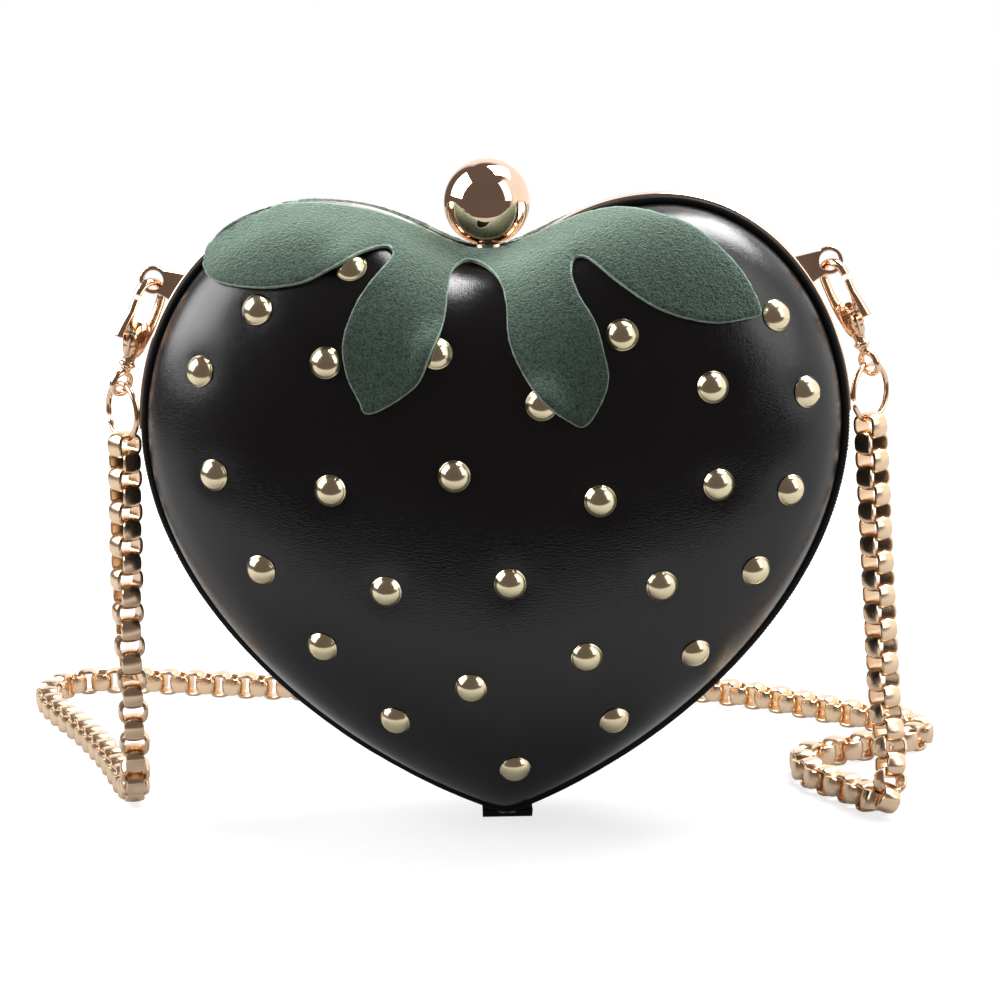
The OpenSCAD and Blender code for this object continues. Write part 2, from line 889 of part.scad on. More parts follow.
// Lugs, brazed to the back half of the gold rim
module right_lug() {
    color("chocolate")
        difference() {
            union() {
                slab(lug_y0, lug_y0 + lug_t)
                    translate([lug_x, lug_z])
                        circle(r = lug_r);
                slab(lug_y0, lug_y0 + lug_t)
                    polygon([
                        place(lug_root_shares[0]), place(lug_root_shares[1]),
                        [lug_x, lug_z + lug_arm], [lug_x, lug_z - lug_arm]
                    ]);
            }
            slab(0, lug_y0 + lug_t + over)
                polygon(outline);
            slab(0, lug_y0 + lug_t + over)
                translate([lug_x, lug_z])
                    circle(r = lug_hole_r);
        }
}
module left_lug() {
    mirror([1, 0, 0])
        right_lug();
}

// Snap clasp in its own plane: Y across, Z along, X through it
module clasp_plane() {
    translate(hook_pivot)
        rotate([0, -clasp_lean, 0])
            rotate([0, 0, clasp_turn])
                children();
}
module across(t) {
    translate([-t / 2, 0, 0])
        rotate([90, 0, 90])
            linear_extrude(t)
                children();
}
hook_drop = hook_r - hook_wire / 2;
hook_in_r = hook_r - hook_wire;
module clasp_outline() {
    translate([0, -hook_drop])
        circle(r = hook_r);
    polygon([
        [-hook_r, -hook_drop], [hook_r, -hook_drop],
        [bulb_r, -bulb_drop], [-bulb_r, -bulb_drop]
    ]);
    translate([0, -bulb_drop])
        circle(r = bulb_r);
}
module tail_outline() {
    translate([-neck_w / 2, -clasp_l + tail_hole_r])
        square([neck_w, clasp_l - tail_hole_r - bulb_drop]);
    translate([0, tail_rise - clasp_l])
        circle(r = tail_r);
}
module clasp_opening() {
    for (z = [-hook_drop, -hook_drop - opening_l])
        translate([0, z])
            circle(r = hook_in_r);
    translate([-hook_in_r, -hook_drop - opening_l])
        square([2 * hook_in_r, opening_l]);
}
module gate_sweep() {
    translate(gate_pivot)
        circle(r = gate_knuckle_r + clear);
    polygon([
        gate_pivot + [-hook_r, -gate_knuckle_r / 2], [-hook_r - over, gate_window],
        [hook_wire / 2, gate_window], [0, gate_pivot.y],
        gate_pivot + [gate_knuckle_r, -gate_knuckle_r / 2]
    ]);
}
module right_clasp() {
    color("sienna")
        clasp_plane()
            difference() {
                union() {
                    across(hook_t)
                        clasp_outline();
                    across(tail_t)
                        tail_outline();
                    across(body_t)
                        intersection() {
                            clasp_outline();
                            translate([-hook_r, -bulb_drop - bulb_r])
                                square([2 * hook_r, gate_window + bulb_drop + bulb_r]);
                        }
                }
                across(body_t + over)
                    clasp_opening();
                across(body_t + over)
                    translate([-hook_r - over, gate_window])
                        square([hook_wire + over, hook_end - gate_window]);
                across(body_t + over)
                    translate([-hook_r - over, gate_window])
                        square([hook_r + over, -hook_drop - opening_l - gate_window]);
                across(gate_slot_t)
                    gate_sweep();
                across(body_t + over)
                    translate(gate_pivot)
                        circle(r = gate_pin_r);
                across(body_t + over)
                    translate([0, tail_rise - clasp_l])
                        circle(r = tail_hole_r);
            }
}
module right_gate() {
    color("peru")
        clasp_plane()
            difference() {
                union() {
                    across(gate_t)
                        translate(gate_pivot)
                            circle(r = gate_knuckle_r);
                    across(gate_t)
                        polygon([
                            gate_pivot + gate_knuckle_r * gate_root_shares[0],
                            [-hook_r + gate_gap, gate_window],
                            [-hook_r + gate_gap, gate_top],
                            [-hook_r + gate_w, gate_top],
                            [-hook_r + gate_w, gate_window],
                            gate_pivot + gate_knuckle_r * gate_root_shares[1]
                        ]);
                }
                across(gate_t + over)
                    translate(gate_pivot)
                        circle(r = gate_pin_r + run);
            }
}
module right_gate_pin() {
    color("white")
        clasp_plane()
            across(body_t)
                translate(gate_pivot)
                    circle(r = gate_pin_r);
}
module right_ring() {
    color("tan")
        translate(ring_centre)
            rotate([0, 0, ring_turn])
                rotate([90, 0, 0])
                    rotate([0, 0, ring_gap_place])
                        rotate_extrude(angle = 360 - ring_gap_angle)
                            translate([ring_r, 0])
                                circle(r = ring_wire_r);
}
module right_end_link() {
    color("burlywood")
        difference() {
            union() {
                translate(link_centre)
                    rotate([0, 0, ring_turn])
                        bar_x(-link_t / 2, link_t / 2, cord_r);
                translate(link_foot)
                    cylinder(r = link_stub_r, h = link_stub - link_hole_r - run);
            }
            translate(link_centre)
                rotate([0, 0, ring_turn])
                    bar_x(-link_t, link_t, link_hole_r);
        }
}
module left_clasp() {
    mirror([1, 0, 0])
        right_clasp();
}
module left_gate() {
    mirror([1, 0, 0])
        right_gate();
}
module left_gate_pin() {
    mirror([1, 0, 0])
        right_gate_pin();
}
module left_ring() {
    mirror([1, 0, 0])
        right_ring();
}
module left_end_link() {
    mirror([1, 0, 0])
        right_end_link();
}

// Chain: two free stretches and the slack, put away behind the purse in two
// layers, the lower one spiralling in and the upper one out again
function coil_point(t) = let(
    a = 90 - 360 * t,
    r = coil_r - coil_pitch * (t < 1 ? t : 2 - t),
    lift = min(max(2 * t - 3 / 2, 0), 1)
) coil_centre + [r * cos(a), r * sin(a), coil_lift * lift * lift * (3 - 2 * lift)];
coil_start = coil_point(0) - [chain_d, 0, 0];
coil_end = coil_point(2) + [chain_d, 0, 0];
coil_path = concat(
    [coil_start],
    [for (i = [0:2 * coil_rings]) coil_point(i / coil_rings)],
    [coil_end]
);
coil_gap = min([
    for (i = [0:len(coil_path) - 1]) for (j = [i + coil_rings / 2:len(coil_path) - 1])
    norm(coil_path[i] - coil_path[j]) - chain_d
]);
echo(coil_gap = coil_gap);
left_path = smooth(
    concat([[-link_foot.x, link_foot.y, link_foot.z]], left_points, [coil_start]), cord_cuts
);
right_path = smooth(concat([coil_end], right_points, [link_foot]), cord_cuts);
function run_length(p) = [for (i = [1:len(p) - 1]) norm(p[i] - p[i - 1])]
    * [for (i = [1:len(p) - 1]) 1];
echo(strap_length = run_length(left_path) + run_length(coil_path) + run_length(right_path));
module chain_left() {
    color("sandybrown")
        tube(left_path, cord_r, cord_sides, [0, 0, -1], [1, 0, 0], [1, 0, 0]);
}
module chain_coil() {
    color("tan")
        tube(coil_path, cord_r, coil_sides, [1, 0, 0], [1, 0, 0], [0, 1, 0]);
}
module chain_right() {
    color("sandybrown")
        tube(right_path, cord_r, cord_sides, [1, 0, 0], [0, 0, 1], [0, 1, 0]);
}

back_shell();
back_cover();
back_lining();
back_piping();
back_frame();
back_edge_tape();
back_leaves();
back_studs();
left_lug();
right_lug();
hinge_leaf_back();
hinge_pin();
hinge_rivets_back();
clasp_bridge();
clasp_screws();
ball_spring();
left_end_link();
right_end_link();
chain_left();
chain_coil();
chain_right();
front_shell();
front_cover();
front_lining();
front_piping();
front_frame();
front_edge_tape();
front_leaves();
front_studs();
hinge_leaf_front();
hinge_rivets_front();
catch_strip();
catch_rivets();
ball();
ball_stem();
stem_clip();
latch_bar();
latch_nut();
left_clasp();
left_gate();
left_gate_pin();
left_ring();
right_clasp();
right_gate();
right_gate_pin();
right_ring();
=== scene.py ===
"""Looks of a heart shaped evening purse.

Padded leather domes, felt leaves, studs, a gold rim, a ball clasp and a box chain strap.
"""
import math

import bmesh
import bpy
import numpy as np
from bpy.props import FloatProperty, FloatVectorProperty, IntProperty, PointerProperty
from mathutils import Matrix, Vector
from mathutils.geometry import delaunay_2d_cdt


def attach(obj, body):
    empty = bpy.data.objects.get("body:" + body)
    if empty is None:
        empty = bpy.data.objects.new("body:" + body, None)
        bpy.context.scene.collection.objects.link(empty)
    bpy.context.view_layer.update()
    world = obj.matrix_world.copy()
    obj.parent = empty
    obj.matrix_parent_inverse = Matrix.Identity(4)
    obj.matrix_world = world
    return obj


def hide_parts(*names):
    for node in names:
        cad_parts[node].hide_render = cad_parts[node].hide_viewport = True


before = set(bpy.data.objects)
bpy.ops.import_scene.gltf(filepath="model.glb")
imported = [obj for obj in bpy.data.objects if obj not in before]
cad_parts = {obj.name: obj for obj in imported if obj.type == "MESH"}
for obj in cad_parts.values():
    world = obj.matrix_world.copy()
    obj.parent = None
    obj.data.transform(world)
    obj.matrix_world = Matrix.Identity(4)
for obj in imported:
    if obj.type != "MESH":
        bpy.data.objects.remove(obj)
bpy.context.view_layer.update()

bl_info = {
    "name": "Heart Purse Maker",
    "version": (1, 0, 0),
    "blender": (4, 5, 0),
    "location": "View3D > Sidebar > Purse",
    "description": "Dresses the packed solids of a heart shaped evening purse",
    "category": "Add Mesh",
}

MM = 0.001
HALVES = (("back", 1), ("front", -1))
SIDES = (("left", -1), ("right", 1))

# Heart outline, right half, as three curves in shares of half the width and of the height
DIP = ((0, 0.918), (0.143, 0.918), (0.22, 1), (0.48, 1))
LOBE = ((0.48, 1), (0.764, 1), (1, 0.841), (1, 0.643))
FLANK = ((1, 0.643), (1, 0.369), (0.52, 0.105), (0, 0))
TIP_Z = 1.2
CENTRE_SHARE = 0.55
RIM_END_SHARE = 0.65

# Millimetres that each layer's line lies inside the outline, and the lining's crown under the leather's
DOME_IN = 2.6
PIPING_IN = 1.75
TAPE_IN = 0.6
LINING_IN = 8.6
LINING_UNDER = 4.8

# Millimetres over which the point at the tip of each line is rounded off
OUTLINE_ROUND = 2.5
COVER_ROUND = 7.0
PIPING_ROUND = 5.0
LINING_ROUND = 12.0

# Studs, in the same shares as the outline, and which of them the felt covers
STUDS = (
    (-0.62, 0.85), (-0.36, 0.911), (0.37, 0.80), (0.79, 0.815), (-0.79, 0.755), (-0.43, 0.77), (-0.13, 0.78),
    (0.15, 0.70), (0.61, 0.715), (0.87, 0.695), (-0.76, 0.595), (-0.43, 0.575), (-0.09, 0.595), (0.30, 0.55),
    (0.62, 0.565), (0.82, 0.545), (-0.64, 0.445), (-0.29, 0.415), (0.05, 0.425), (0.46, 0.41), (0.72, 0.42),
    (-0.48, 0.32), (0.25, 0.30), (0.55, 0.29), (-0.07, 0.255), (-0.29, 0.195), (0.32, 0.185), (0.04, 0.11),
)
STUDS_UNDER_FELT = (1, 6, 7)

# The felt is one cut sheet: top edge from left to right, then the four leaves back again
FELT_TOP = (
    (-0.772, 0.902), (-0.780, 0.920), (-0.765, 0.946), (-0.718, 0.971), (-0.645, 0.988), (-0.55, 0.997), (-0.45, 0.997),
    (-0.34, 0.987), (-0.26, 0.973), (-0.18, 0.954), (-0.11, 0.934), (-0.05, 0.925), (0.0, 0.922), (0.04, 0.924),
    (0.10, 0.931), (0.18, 0.950), (0.25, 0.966), (0.32, 0.976), (0.38, 0.979), (0.46, 0.972), (0.55, 0.955),
    (0.61, 0.932), (0.68, 0.892), (0.72, 0.855), (0.74, 0.819),
)
FELT_LEAVES = (
    (0.70, 0.812), (0.62, 0.809), (0.53, 0.820), (0.45, 0.840), (0.36, 0.876), (0.30, 0.904), (0.27, 0.912),
    (0.245, 0.908), (0.24, 0.887), (0.26, 0.857), (0.30, 0.818), (0.32, 0.775), (0.33, 0.732), (0.30, 0.689),
    (0.26, 0.664), (0.22, 0.674), (0.18, 0.691), (0.12, 0.729), (0.07, 0.787), (0.06, 0.846), (0.045, 0.872),
    (0.02, 0.888), (-0.02, 0.900), (-0.06, 0.904), (-0.09, 0.893), (-0.10, 0.870), (-0.11, 0.822), (-0.14, 0.781),
    (-0.18, 0.735), (-0.26, 0.703), (-0.32, 0.692), (-0.34, 0.712), (-0.37, 0.749), (-0.38, 0.798), (-0.35, 0.848),
    (-0.31, 0.886), (-0.26, 0.914), (-0.25, 0.927), (-0.27, 0.934), (-0.31, 0.932), (-0.35, 0.924), (-0.42, 0.904),
    (-0.49, 0.887), (-0.58, 0.880), (-0.66, 0.881), (-0.735, 0.888),
)
EDGE_HIGHLIGHT_WIDTH = 0.3  # how wide a band along the felt's edge is painted pale as a highlight, in millimetres

# Strap, in millimetres and degrees: the same points as the imported solids follow
RING_CENTRE = (96.234, 1.6, 109.634)
LINK_TOP = (96.234, 1.6, 100.9)
RING_TURN = 50
LEFT_LINK_TURNS = ((0, 42), (0.3, 50), (0.55, 72), (0.72, 79))
RIGHT_LINK_TURNS = ((0, 42), (0.72, 36))
LEFT_RUN = (
    (-97, 2, 84), (-98, 2, 58), (-98, 2, 34), (-99, 5, 14), (-103, 20, 4), (-114, 50, 3.7), (-127, 80, 3.7),
    (-143, 112, 3.7), (-148, 132, 3.7), (-140, 145, 3.7), (-119, 144, 3.7), (-90, 136, 3.7), (-60, 130, 3.7),
    (-30, 131, 3.7), (-12, 131, 3.7),
)
RIGHT_RUN = (
    (24, 131, 9), (40, 126, 4), (56, 117, 3.7), (74, 105, 3.7), (96, 85, 3.7), (112, 71, 3.7), (112, 57, 3.7),
    (96, 48, 3.7), (81, 38, 3.7), (81, 22, 3.7), (91, 5, 3.7), (98, -8, 4.5), (100, -4, 15), (99, 1, 30),
    (98, 2, 56), (97, 2, 82),
)
COIL_CENTRE = (5, 100, 3.7)
COIL_RADIUS = 31
COIL_PITCH = 8.2
COIL_LIFT = 8
COIL_STEPS = 24
STEPS_PER_LINK = 6

# Lugs and clasps, right side, in millimetres and degrees
LUG = (86.2, 143.524)
HOOK = (86.2, 1.6, 143.024)
CLASP_LEAN = 21
CLASP_TURN = 36
GATE_PIVOT = (-2.6, -14)

# Ball clasp, in millimetres: its centre and travel, and the room for its stem in the rim and the lining
BALL_Z = 160.998
BALL_TRAVEL = 1.5
RIM_BORE = {"back": 3.02, "front": 3.45}
LINING_BORE = {"back": 3.15, "front": 3.6}

# Camera, in degrees, metres and millimetres of lens
CAMERA_AZIMUTH = 3.0
CAMERA_ELEVATION = 10.0
CAMERA_ROLL = -1.95
CAMERA_AIM = (0.0008, 0, 0.0842)
CAMERA_DISTANCE = 0.729
CAMERA_LENS = 101.7

# Lamps: place and aim in metres, width and height, watts
LAMPS = {
    "Softbox_left": ((-1.09, -0.02, 0.87), (0, 0, 0.16), (1.1, 1.1), 25),
    "Softbox_right": ((1.02, -0.50, 0.72), (0, 0, 0.16), (0.45, 1.1), 4),
    "Softbox_top": ((0.53, 0.37, 1.26), (0, 0, 0.13), (0.75, 0.8), 32),
}


# ---------------------------------------------------------------- sizes and colours
def length(name, description, default):
    return FloatProperty(name=name, description=description, default=default, min=0, unit="LENGTH", precision=5)


def colour(name, description, default):
    return FloatVectorProperty(
        name=name, description=description, default=default, size=3, min=0, max=1, subtype="COLOR"
    )


class PurseSizes(bpy.types.PropertyGroup):
    heart_width: length("Heart width", "Width over the gold rim", 0.182)
    heart_height: length("Heart height", "Height from the tip to the lobes", 0.161)
    half_depth: length("Half depth", "Depth of one half, seam to crown", 0.038)
    rim_depth: length("Rim depth", "Depth of one half of the rim", 0.005)
    rim_thickness: length("Rim thickness", "Thickness of the gold rim", 0.0018)
    piping_radius: length("Piping radius", "Radius of the leather piping", 0.0011)
    felt_thickness: length("Felt thickness", "Thickness of the felt leaves", 0.0011)
    stud_width: length("Stud width", "Diameter of a domed stud", 0.008)
    stud_height: length("Stud height", "Height of a stud over the leather", 0.0027)
    stud_sink: length("Stud sink", "How far a stud pulls the leather in", 0.00055)
    ball_width: length("Ball width", "Diameter of the ball clasp", 0.022)
    chain_width: length("Chain width", "Width of the box chain", 0.0073)
    link_pitch: length("Link pitch", "Distance from one link to the next", 0.00445)
    link_strip: length("Link strip", "Width of the strip that a link is bent from", 0.0053)
    link_thickness: length("Link thickness", "Thickness of that strip", 0.0009)
    ring_radius: length("Ring radius", "Mean radius of a split ring", 0.00725)
    ring_wire: length("Ring wire", "Radius of a split ring's wire", 0.00075)
    dome_fullness: FloatProperty(name="Dome fullness", description="Power of the dome's profile", default=2.2)
    dome_rows: IntProperty(name="Dome rows", description="Rows of faces from rim to crown", default=44, min=8)


class PurseColours(bpy.types.PropertyGroup):
    leather: colour("Leather", "Black satin leather", (0.0036, 0.0036, 0.0042))
    piping: colour("Piping", "Black leather piping", (0.0030, 0.0028, 0.0029))
    tape: colour("Edge tape", "Woven edge tape", (0.0045, 0.0040, 0.0039))
    felt: colour("Felt", "Green felt", (0.030, 0.052, 0.038))
    # The felt edge colour is a painted highlight along the felt's cut edge
    felt_edge: colour("Felt edge", "Pale cut edge of the felt", (0.30, 0.38, 0.33))
    lining: colour("Lining", "Woven lining", (0.42, 0.30, 0.22))
    rim: colour("Rim", "Champagne gold rim", (0.93, 0.73, 0.56))
    stud: colour("Studs", "Pale gold studs", (0.90, 0.79, 0.52))
    ball: colour("Ball", "Rose gold ball", (0.94, 0.68, 0.51))
    fitting: colour("Fittings", "Rose gold lugs and clasps", (0.92, 0.66, 0.47))
    chain: colour("Chain", "Rose gold box chain", (0.93, 0.69, 0.47))
    steel: colour("Steel", "Plated steel of the hinge and latch", (0.60, 0.58, 0.55))
    hinge: colour("Hinge", "Blackened steel of the hinge", (0.030, 0.028, 0.027))
    shell: colour("Shell", "Moulded board of the shell", (0.035, 0.032, 0.032))


def sizes():
    return bpy.context.scene.purse_sizes


def colours():
    return bpy.context.scene.purse_colours


# ---------------------------------------------------------------- lines and surfaces
def bezier(points, steps):
    t = np.linspace(0, 1, steps)[:, None]
    p = np.array(points, float)
    return (1 - t) ** 3 * p[0] + 3 * (1 - t) ** 2 * t * p[1] + 3 * (1 - t) * t * t * p[2] + t**3 * p[3]


def evenly(line, count):
    """The line again, as count equal steps."""
    steps = np.linalg.norm(np.diff(line, axis=0), axis=1)
    along = np.concatenate([[0], np.cumsum(steps)])
    wanted = np.linspace(0, along[-1], count + 1)
    return np.stack([np.interp(wanted, along, line[:, k]) for k in range(line.shape[1])], axis=1)


def run_length(line):
    return float(np.linalg.norm(np.diff(line, axis=0), axis=1).sum())


def inset(line, distance):
    """A closed clockwise line, drawn inwards by distance at each of its points."""
    before = line - np.roll(line, 1, axis=0)
    after = np.roll(line, -1, axis=0) - line
    a, b = (np.stack([e[:, 1], -e[:, 0]], axis=1) / np.linalg.norm(e, axis=1)[:, None] for e in (before, after))
    return line + distance * (a + b) / (1 + (a * b).sum(axis=1))[:, None]


def closest(line, points):
    """The spot of a closed line that is closest to each point: how far, which step, how far along it, and the gap."""
    along = np.roll(line, -1, axis=0) - line
    away = points[:, None, :] - line[None]
    share = np.clip((away * along).sum(axis=-1) / (along * along).sum(axis=-1), 0, 1)
    gap = away - share[..., None] * along
    distance = np.linalg.norm(gap, axis=-1)
    rows, pick = np.arange(len(points)), distance.argmin(axis=1)
    return distance[rows, pick], pick, share[rows, pick], gap[rows, pick]


def smoothstep(low, high, value):
    t = np.clip((value - low) / (high - low), 0, 1)
    return t * t * (3 - 2 * t)


def unit(v):
    return v / np.maximum(np.linalg.norm(v, axis=-1, keepdims=True), 1e-12)


def polar(away):
    """How far, and at what angle in degrees, flat offsets lie."""
    return np.linalg.norm(away, axis=-1), np.degrees(np.arctan2(away[..., 1], away[..., 0]))


def upright(line, depth):
    """A flat line (x, z) as points at one depth."""
    return np.stack([line[:, 0], np.full(len(line), depth), line[:, 1]], axis=1)


def surface_normal(depth, x, z, step):
    """Unit normals of the surface whose depth over (x, z) is given by a function."""
    slope_x = (depth(x + step, z) - depth(x - step, z)) / (2 * step)
    slope_z = (depth(x, z + step) - depth(x, z - step)) / (2 * step)
    return unit(np.stack([-slope_x, np.ones_like(slope_x), -slope_z], axis=-1))


class Heart:
    """The heart in millimetres: its outline, and the padded dome of the half on the +Y side."""

    CURVE_STEPS = 400
    SPREAD, REACH = 20, 60  # degrees over which the crown's contours are evened out

    def __init__(self, steps=150):
        s = sizes()
        self.half_width = s.heart_width / MM / 2
        self.height = s.heart_height / MM
        self.rim_depth = s.rim_depth / MM
        self.rise = s.half_depth / MM - self.rim_depth
        self.power = s.dome_fullness
        self.centre = np.array([0, TIP_Z + CENTRE_SHARE * self.height])
        self.crown = np.array([0, self.rim_depth + self.rise, self.centre[1]])
        dip, lobe, flank = (bezier(c, self.CURVE_STEPS) for c in (DIP, LOBE, FLANK))
        right = evenly(self.place(np.concatenate([dip, lobe[1:], flank[1:]])), steps)
        self.tip = steps
        self.outline = self.softened(np.concatenate([right, right[-2:0:-1] * [-1, 1]]), OUTLINE_ROUND)
        self.cover = self.layer(DOME_IN, COVER_ROUND)
        distance, angles = polar(self.cover - self.centre)
        order = np.argsort(angles)
        self.angles = np.arange(-180, 181, 1.0)
        self.radii = np.interp(self.angles, angles[order], distance[order], period=360)
        reach = self.REACH
        spread = np.exp(-0.5 * (np.arange(-reach, reach + 1) / self.SPREAD) ** 2)
        ring = np.concatenate([self.radii[-reach - 1:-1], self.radii, self.radii[1:reach + 1]])
        self.round_radii = np.convolve(ring, spread / spread.sum(), mode="valid")

    def place(self, shares):
        shares = np.array(shares, float)
        return np.stack([shares[:, 0] * self.half_width, TIP_Z + shares[:, 1] * self.height], axis=1)

    def softened(self, line, spread):
        """The line with its point at the tip rounded off over about spread millimetres."""
        line = line.copy()
        step = run_length(line) / len(line)
        reach = int(2.2 * spread / step)
        near = np.arange(self.tip - reach, self.tip + reach + 1)
        fade = np.cos(np.linspace(-1, 1, len(near)) * np.pi / 2)[:, None]
        for _ in range(int((spread / step) ** 2 / 2)):
            middle = (line[near - 1] + 2 * line[near] + line[near + 1]) / 4
            line[near] += fade * (middle - line[near])
        return line

    def layer(self, distance, spread):
        """The outline drawn in by distance, with its tip rounded off over spread."""
        return inset(self.softened(self.outline, spread), distance)

    def softening(self, share):
        """How far a contour of the dome has turned from the heart's line to a rounder one."""
        return 0.8 * np.clip(1 - share, 0, 1) ** 0.9

    def swell(self, share):
        return (1 - np.clip(share, 0, 1) ** self.power) ** (1 / self.power)

    def contour(self, line, share, rise):
        """The ring of a dome over line, at a share of the way from its centre."""
        away = line - self.centre
        radius, angle = polar(away)
        extra = np.interp(angle, self.angles, self.round_radii - self.radii)
        reach = share * (1 + extra * self.softening(share) / radius)
        return upright(self.centre + away * reach[:, None], self.rim_depth + rise * self.swell(share))

    def dome(self, line, rows, rise):
        """The rings of a dome from its foot to just under its crown."""
        return [self.contour(line, math.cos(math.pi / 2 * j / rows), rise) for j in range(rows)]

    def depth(self, x, z):
        """Depth of the leather's face over points of the seam plane."""
        x, z = np.asarray(x, float), np.asarray(z, float)
        distance, angle = polar(np.stack([x, z - self.centre[1]], axis=-1))
        radius = np.interp(angle, self.angles, self.radii)
        extra = np.interp(angle, self.angles, self.round_radii) - radius
        low, high = np.zeros_like(distance), np.ones_like(distance)
        for _ in range(26):
            middle = (low + high) / 2
            short = middle * (radius + extra * self.softening(middle)) < distance
            low, high = np.where(short, middle, low), np.where(short, high, middle)
        return self.rim_depth + self.rise * self.swell((low + high) / 2)

    def stud_seats(self):
        """Where the studs stand on the leather, and its normals there."""
        x, z = self.place(STUDS).T
        return np.stack([x, self.depth(x, z), z], axis=1), surface_normal(self.depth, x, z, 0.05)

    def inside(self, x, z):
        """Distance inwards from the outline, below zero outside it."""
        distance, pick, _, gap = closest(self.outline, np.stack([x, z], axis=-1))
        along = np.roll(self.outline, -1, axis=0) - self.outline
        sign = np.sign(gap[:, 0] * along[pick, 1] - gap[:, 1] * along[pick, 0])
        return distance * np.where(sign == 0, 1, sign)


def band(rows, columns, closed_rows=False, closed_columns=True, start=0):
    """Faces between rows of points, each row columns long."""
    faces = []
    for j in range(rows if closed_rows else rows - 1):
        k = (j + 1) % rows
        for i in range(columns if closed_columns else columns - 1):
            n = (i + 1) % columns
            face = (j * columns + i, j * columns + n, k * columns + n, k * columns + i)
            faces.append(tuple(start + v for v in face))
    return faces


def closed_dome(rings, crown):
    """Points and faces of a stack of rings that ends in one point."""
    columns = len(rings[0])
    last = len(rings) * columns
    faces = band(len(rings), columns)
    faces += [(last - columns + i, last - columns + (i + 1) % columns, last) for i in range(columns)]
    return np.concatenate([*rings, [crown]]), faces


def linked(name, data):
    """A new object in the scene."""
    made = bpy.data.objects.new(name, data)
    bpy.context.scene.collection.objects.link(made)
    return made


def smoothed(mesh):
    mesh.polygons.foreach_set("use_smooth", [True] * len(mesh.polygons))
    mesh.update()


def add_mesh(name, points, faces, finishes, places=None):
    """A smooth mesh from points in millimetres; places gives each face its number in the list of finishes."""
    mesh = bpy.data.meshes.new(name)
    points = np.asarray(points, float) * MM
    mesh.from_pydata(points.tolist(), [], [tuple(int(i) for i in f) for f in faces])
    mesh.validate()
    for material in finishes if isinstance(finishes, (list, tuple)) else [finishes]:
        mesh.materials.append(material)
    if places is not None:
        mesh.polygons.foreach_set("material_index", [int(p) for p in places])
    smoothed(mesh)
    return linked(name, mesh)


def outward(piece, weld=0):
    """Turns a closed mesh's faces outwards, after joining points closer than weld metres."""
    work = bmesh.new()
    work.from_mesh(piece.data)
    if weld:
        bmesh.ops.remove_doubles(work, verts=work.verts, dist=weld)
    bmesh.ops.recalc_face_normals(work, faces=work.faces)
    work.to_mesh(piece.data)
    work.free()
    return piece


def by_angle(piece, degrees):
    """Leaves edges sharper than the angle sharp."""
    piece.data.set_sharp_from_angle(angle=math.radians(degrees))
    return piece


def mirrored(points, sign):
    return np.asarray(points, float) * [1, sign, 1]


def flipped(points, side):
    return np.asarray(points, float) * [side, 1, 1]


def on_both_halves(label, points, faces, finishes, places=None):
    """Builds the same closed piece on each half, the front one mirrored."""
    for half, sign in HALVES:
        yield half, outward(add_mesh(f"{half}_{label}", mirrored(points, sign), faces, finishes, places))


def dressed(piece, body, slot, *nodes):
    """Puts a piece on its body, in the place of the solids that it stands for, and hides them. Its slot is not used."""
    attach(piece, body)
    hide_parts(*nodes)
    return piece


def modified(piece, *steps):
    """Adds modifiers, each as its kind and settings, and keeps what they make as the piece's mesh."""
    for kind, settings in steps:
        step = piece.modifiers.new(kind.title(), kind)
        for name, value in settings.items():
            setattr(step, name, value)
    bpy.context.view_layer.update()
    seen = piece.evaluated_get(bpy.context.evaluated_depsgraph_get())
    made = bpy.data.meshes.new_from_object(seen)
    piece.modifiers.clear()
    old, piece.data = piece.data, made
    bpy.data.meshes.remove(old)
    return piece


def carve(piece, *cutters):
    """Cuts solids out of a closed piece and keeps the result in its mesh."""
    cut = {"operation": "DIFFERENCE", "solver": "EXACT"}
    modified(piece, *[("BOOLEAN", {**cut, "object": cutter}) for cutter in cutters])
    for cutter in cutters:
        bpy.data.objects.remove(cutter)
    return piece


def thickened(piece, thickness, offset):
    """Gives a sheet its thickness in metres; the modifier stays on it."""
    thick = piece.modifiers.new("Thickness", "SOLIDIFY")
    thick.thickness, thick.offset = thickness, offset


def rod(start, end, radius, sides):
    """A plain closed rod used as a cutter, in millimetres."""
    return tube_piece("Cutter", [start, end], radius, sides, [])


def ring_of(sides, turn=0.5):
    angles = 2 * np.pi * (np.arange(sides) + turn) / sides
    return np.stack([np.cos(angles), np.sin(angles)], axis=1)


def carried(path, side):
    """Directions along a path, and a side direction carried along it without twist."""
    path = np.asarray(path, float)
    along = unit(np.gradient(path, axis=0))
    sides = np.zeros_like(along)
    current = np.array(side, float)
    for i, t in enumerate(along):
        current = current - (current @ t) * t
        current /= np.linalg.norm(current)
        sides[i] = current
    return along, sides, np.cross(along, sides)


def tube_points(path, radius, sides, side=None, wide=1.0, tall=1.0):
    """Rings of points round a path. radius, wide and tall may change along it."""
    path = np.asarray(path, float)
    first = path[1] - path[0]
    guess = np.array([0, 0, 1.0]) if abs(unit(first)[2]) < 0.9 else np.array([1.0, 0, 0])
    _, s, u = carried(path, guess if side is None else side)
    shape = ring_of(sides)
    r = np.broadcast_to(radius, len(path))
    w, h = np.broadcast_to(wide, len(path)), np.broadcast_to(tall, len(path))
    return (
        path[:, None, :]
        + (r * w)[:, None, None] * shape[None, :, 0, None] * s[:, None, :]
        + (r * h)[:, None, None] * shape[None, :, 1, None] * u[:, None, :]
    )


def tube_faces(rings, sides):
    faces = band(rings, sides)
    faces.append(tuple(range(sides - 1, -1, -1)))
    faces.append(tuple((rings - 1) * sides + i for i in range(sides)))
    return faces


def tube_part(path, radius, sides, side=None, wide=1.0, tall=1.0):
    """Points and faces of a closed tube."""
    return tube_points(path, radius, sides, side, wide, tall).reshape(-1, 3), tube_faces(len(path), sides)


def tube_piece(name, path, radius, sides, finishes):
    return outward(add_mesh(name, *tube_part(path, radius, sides), finishes))


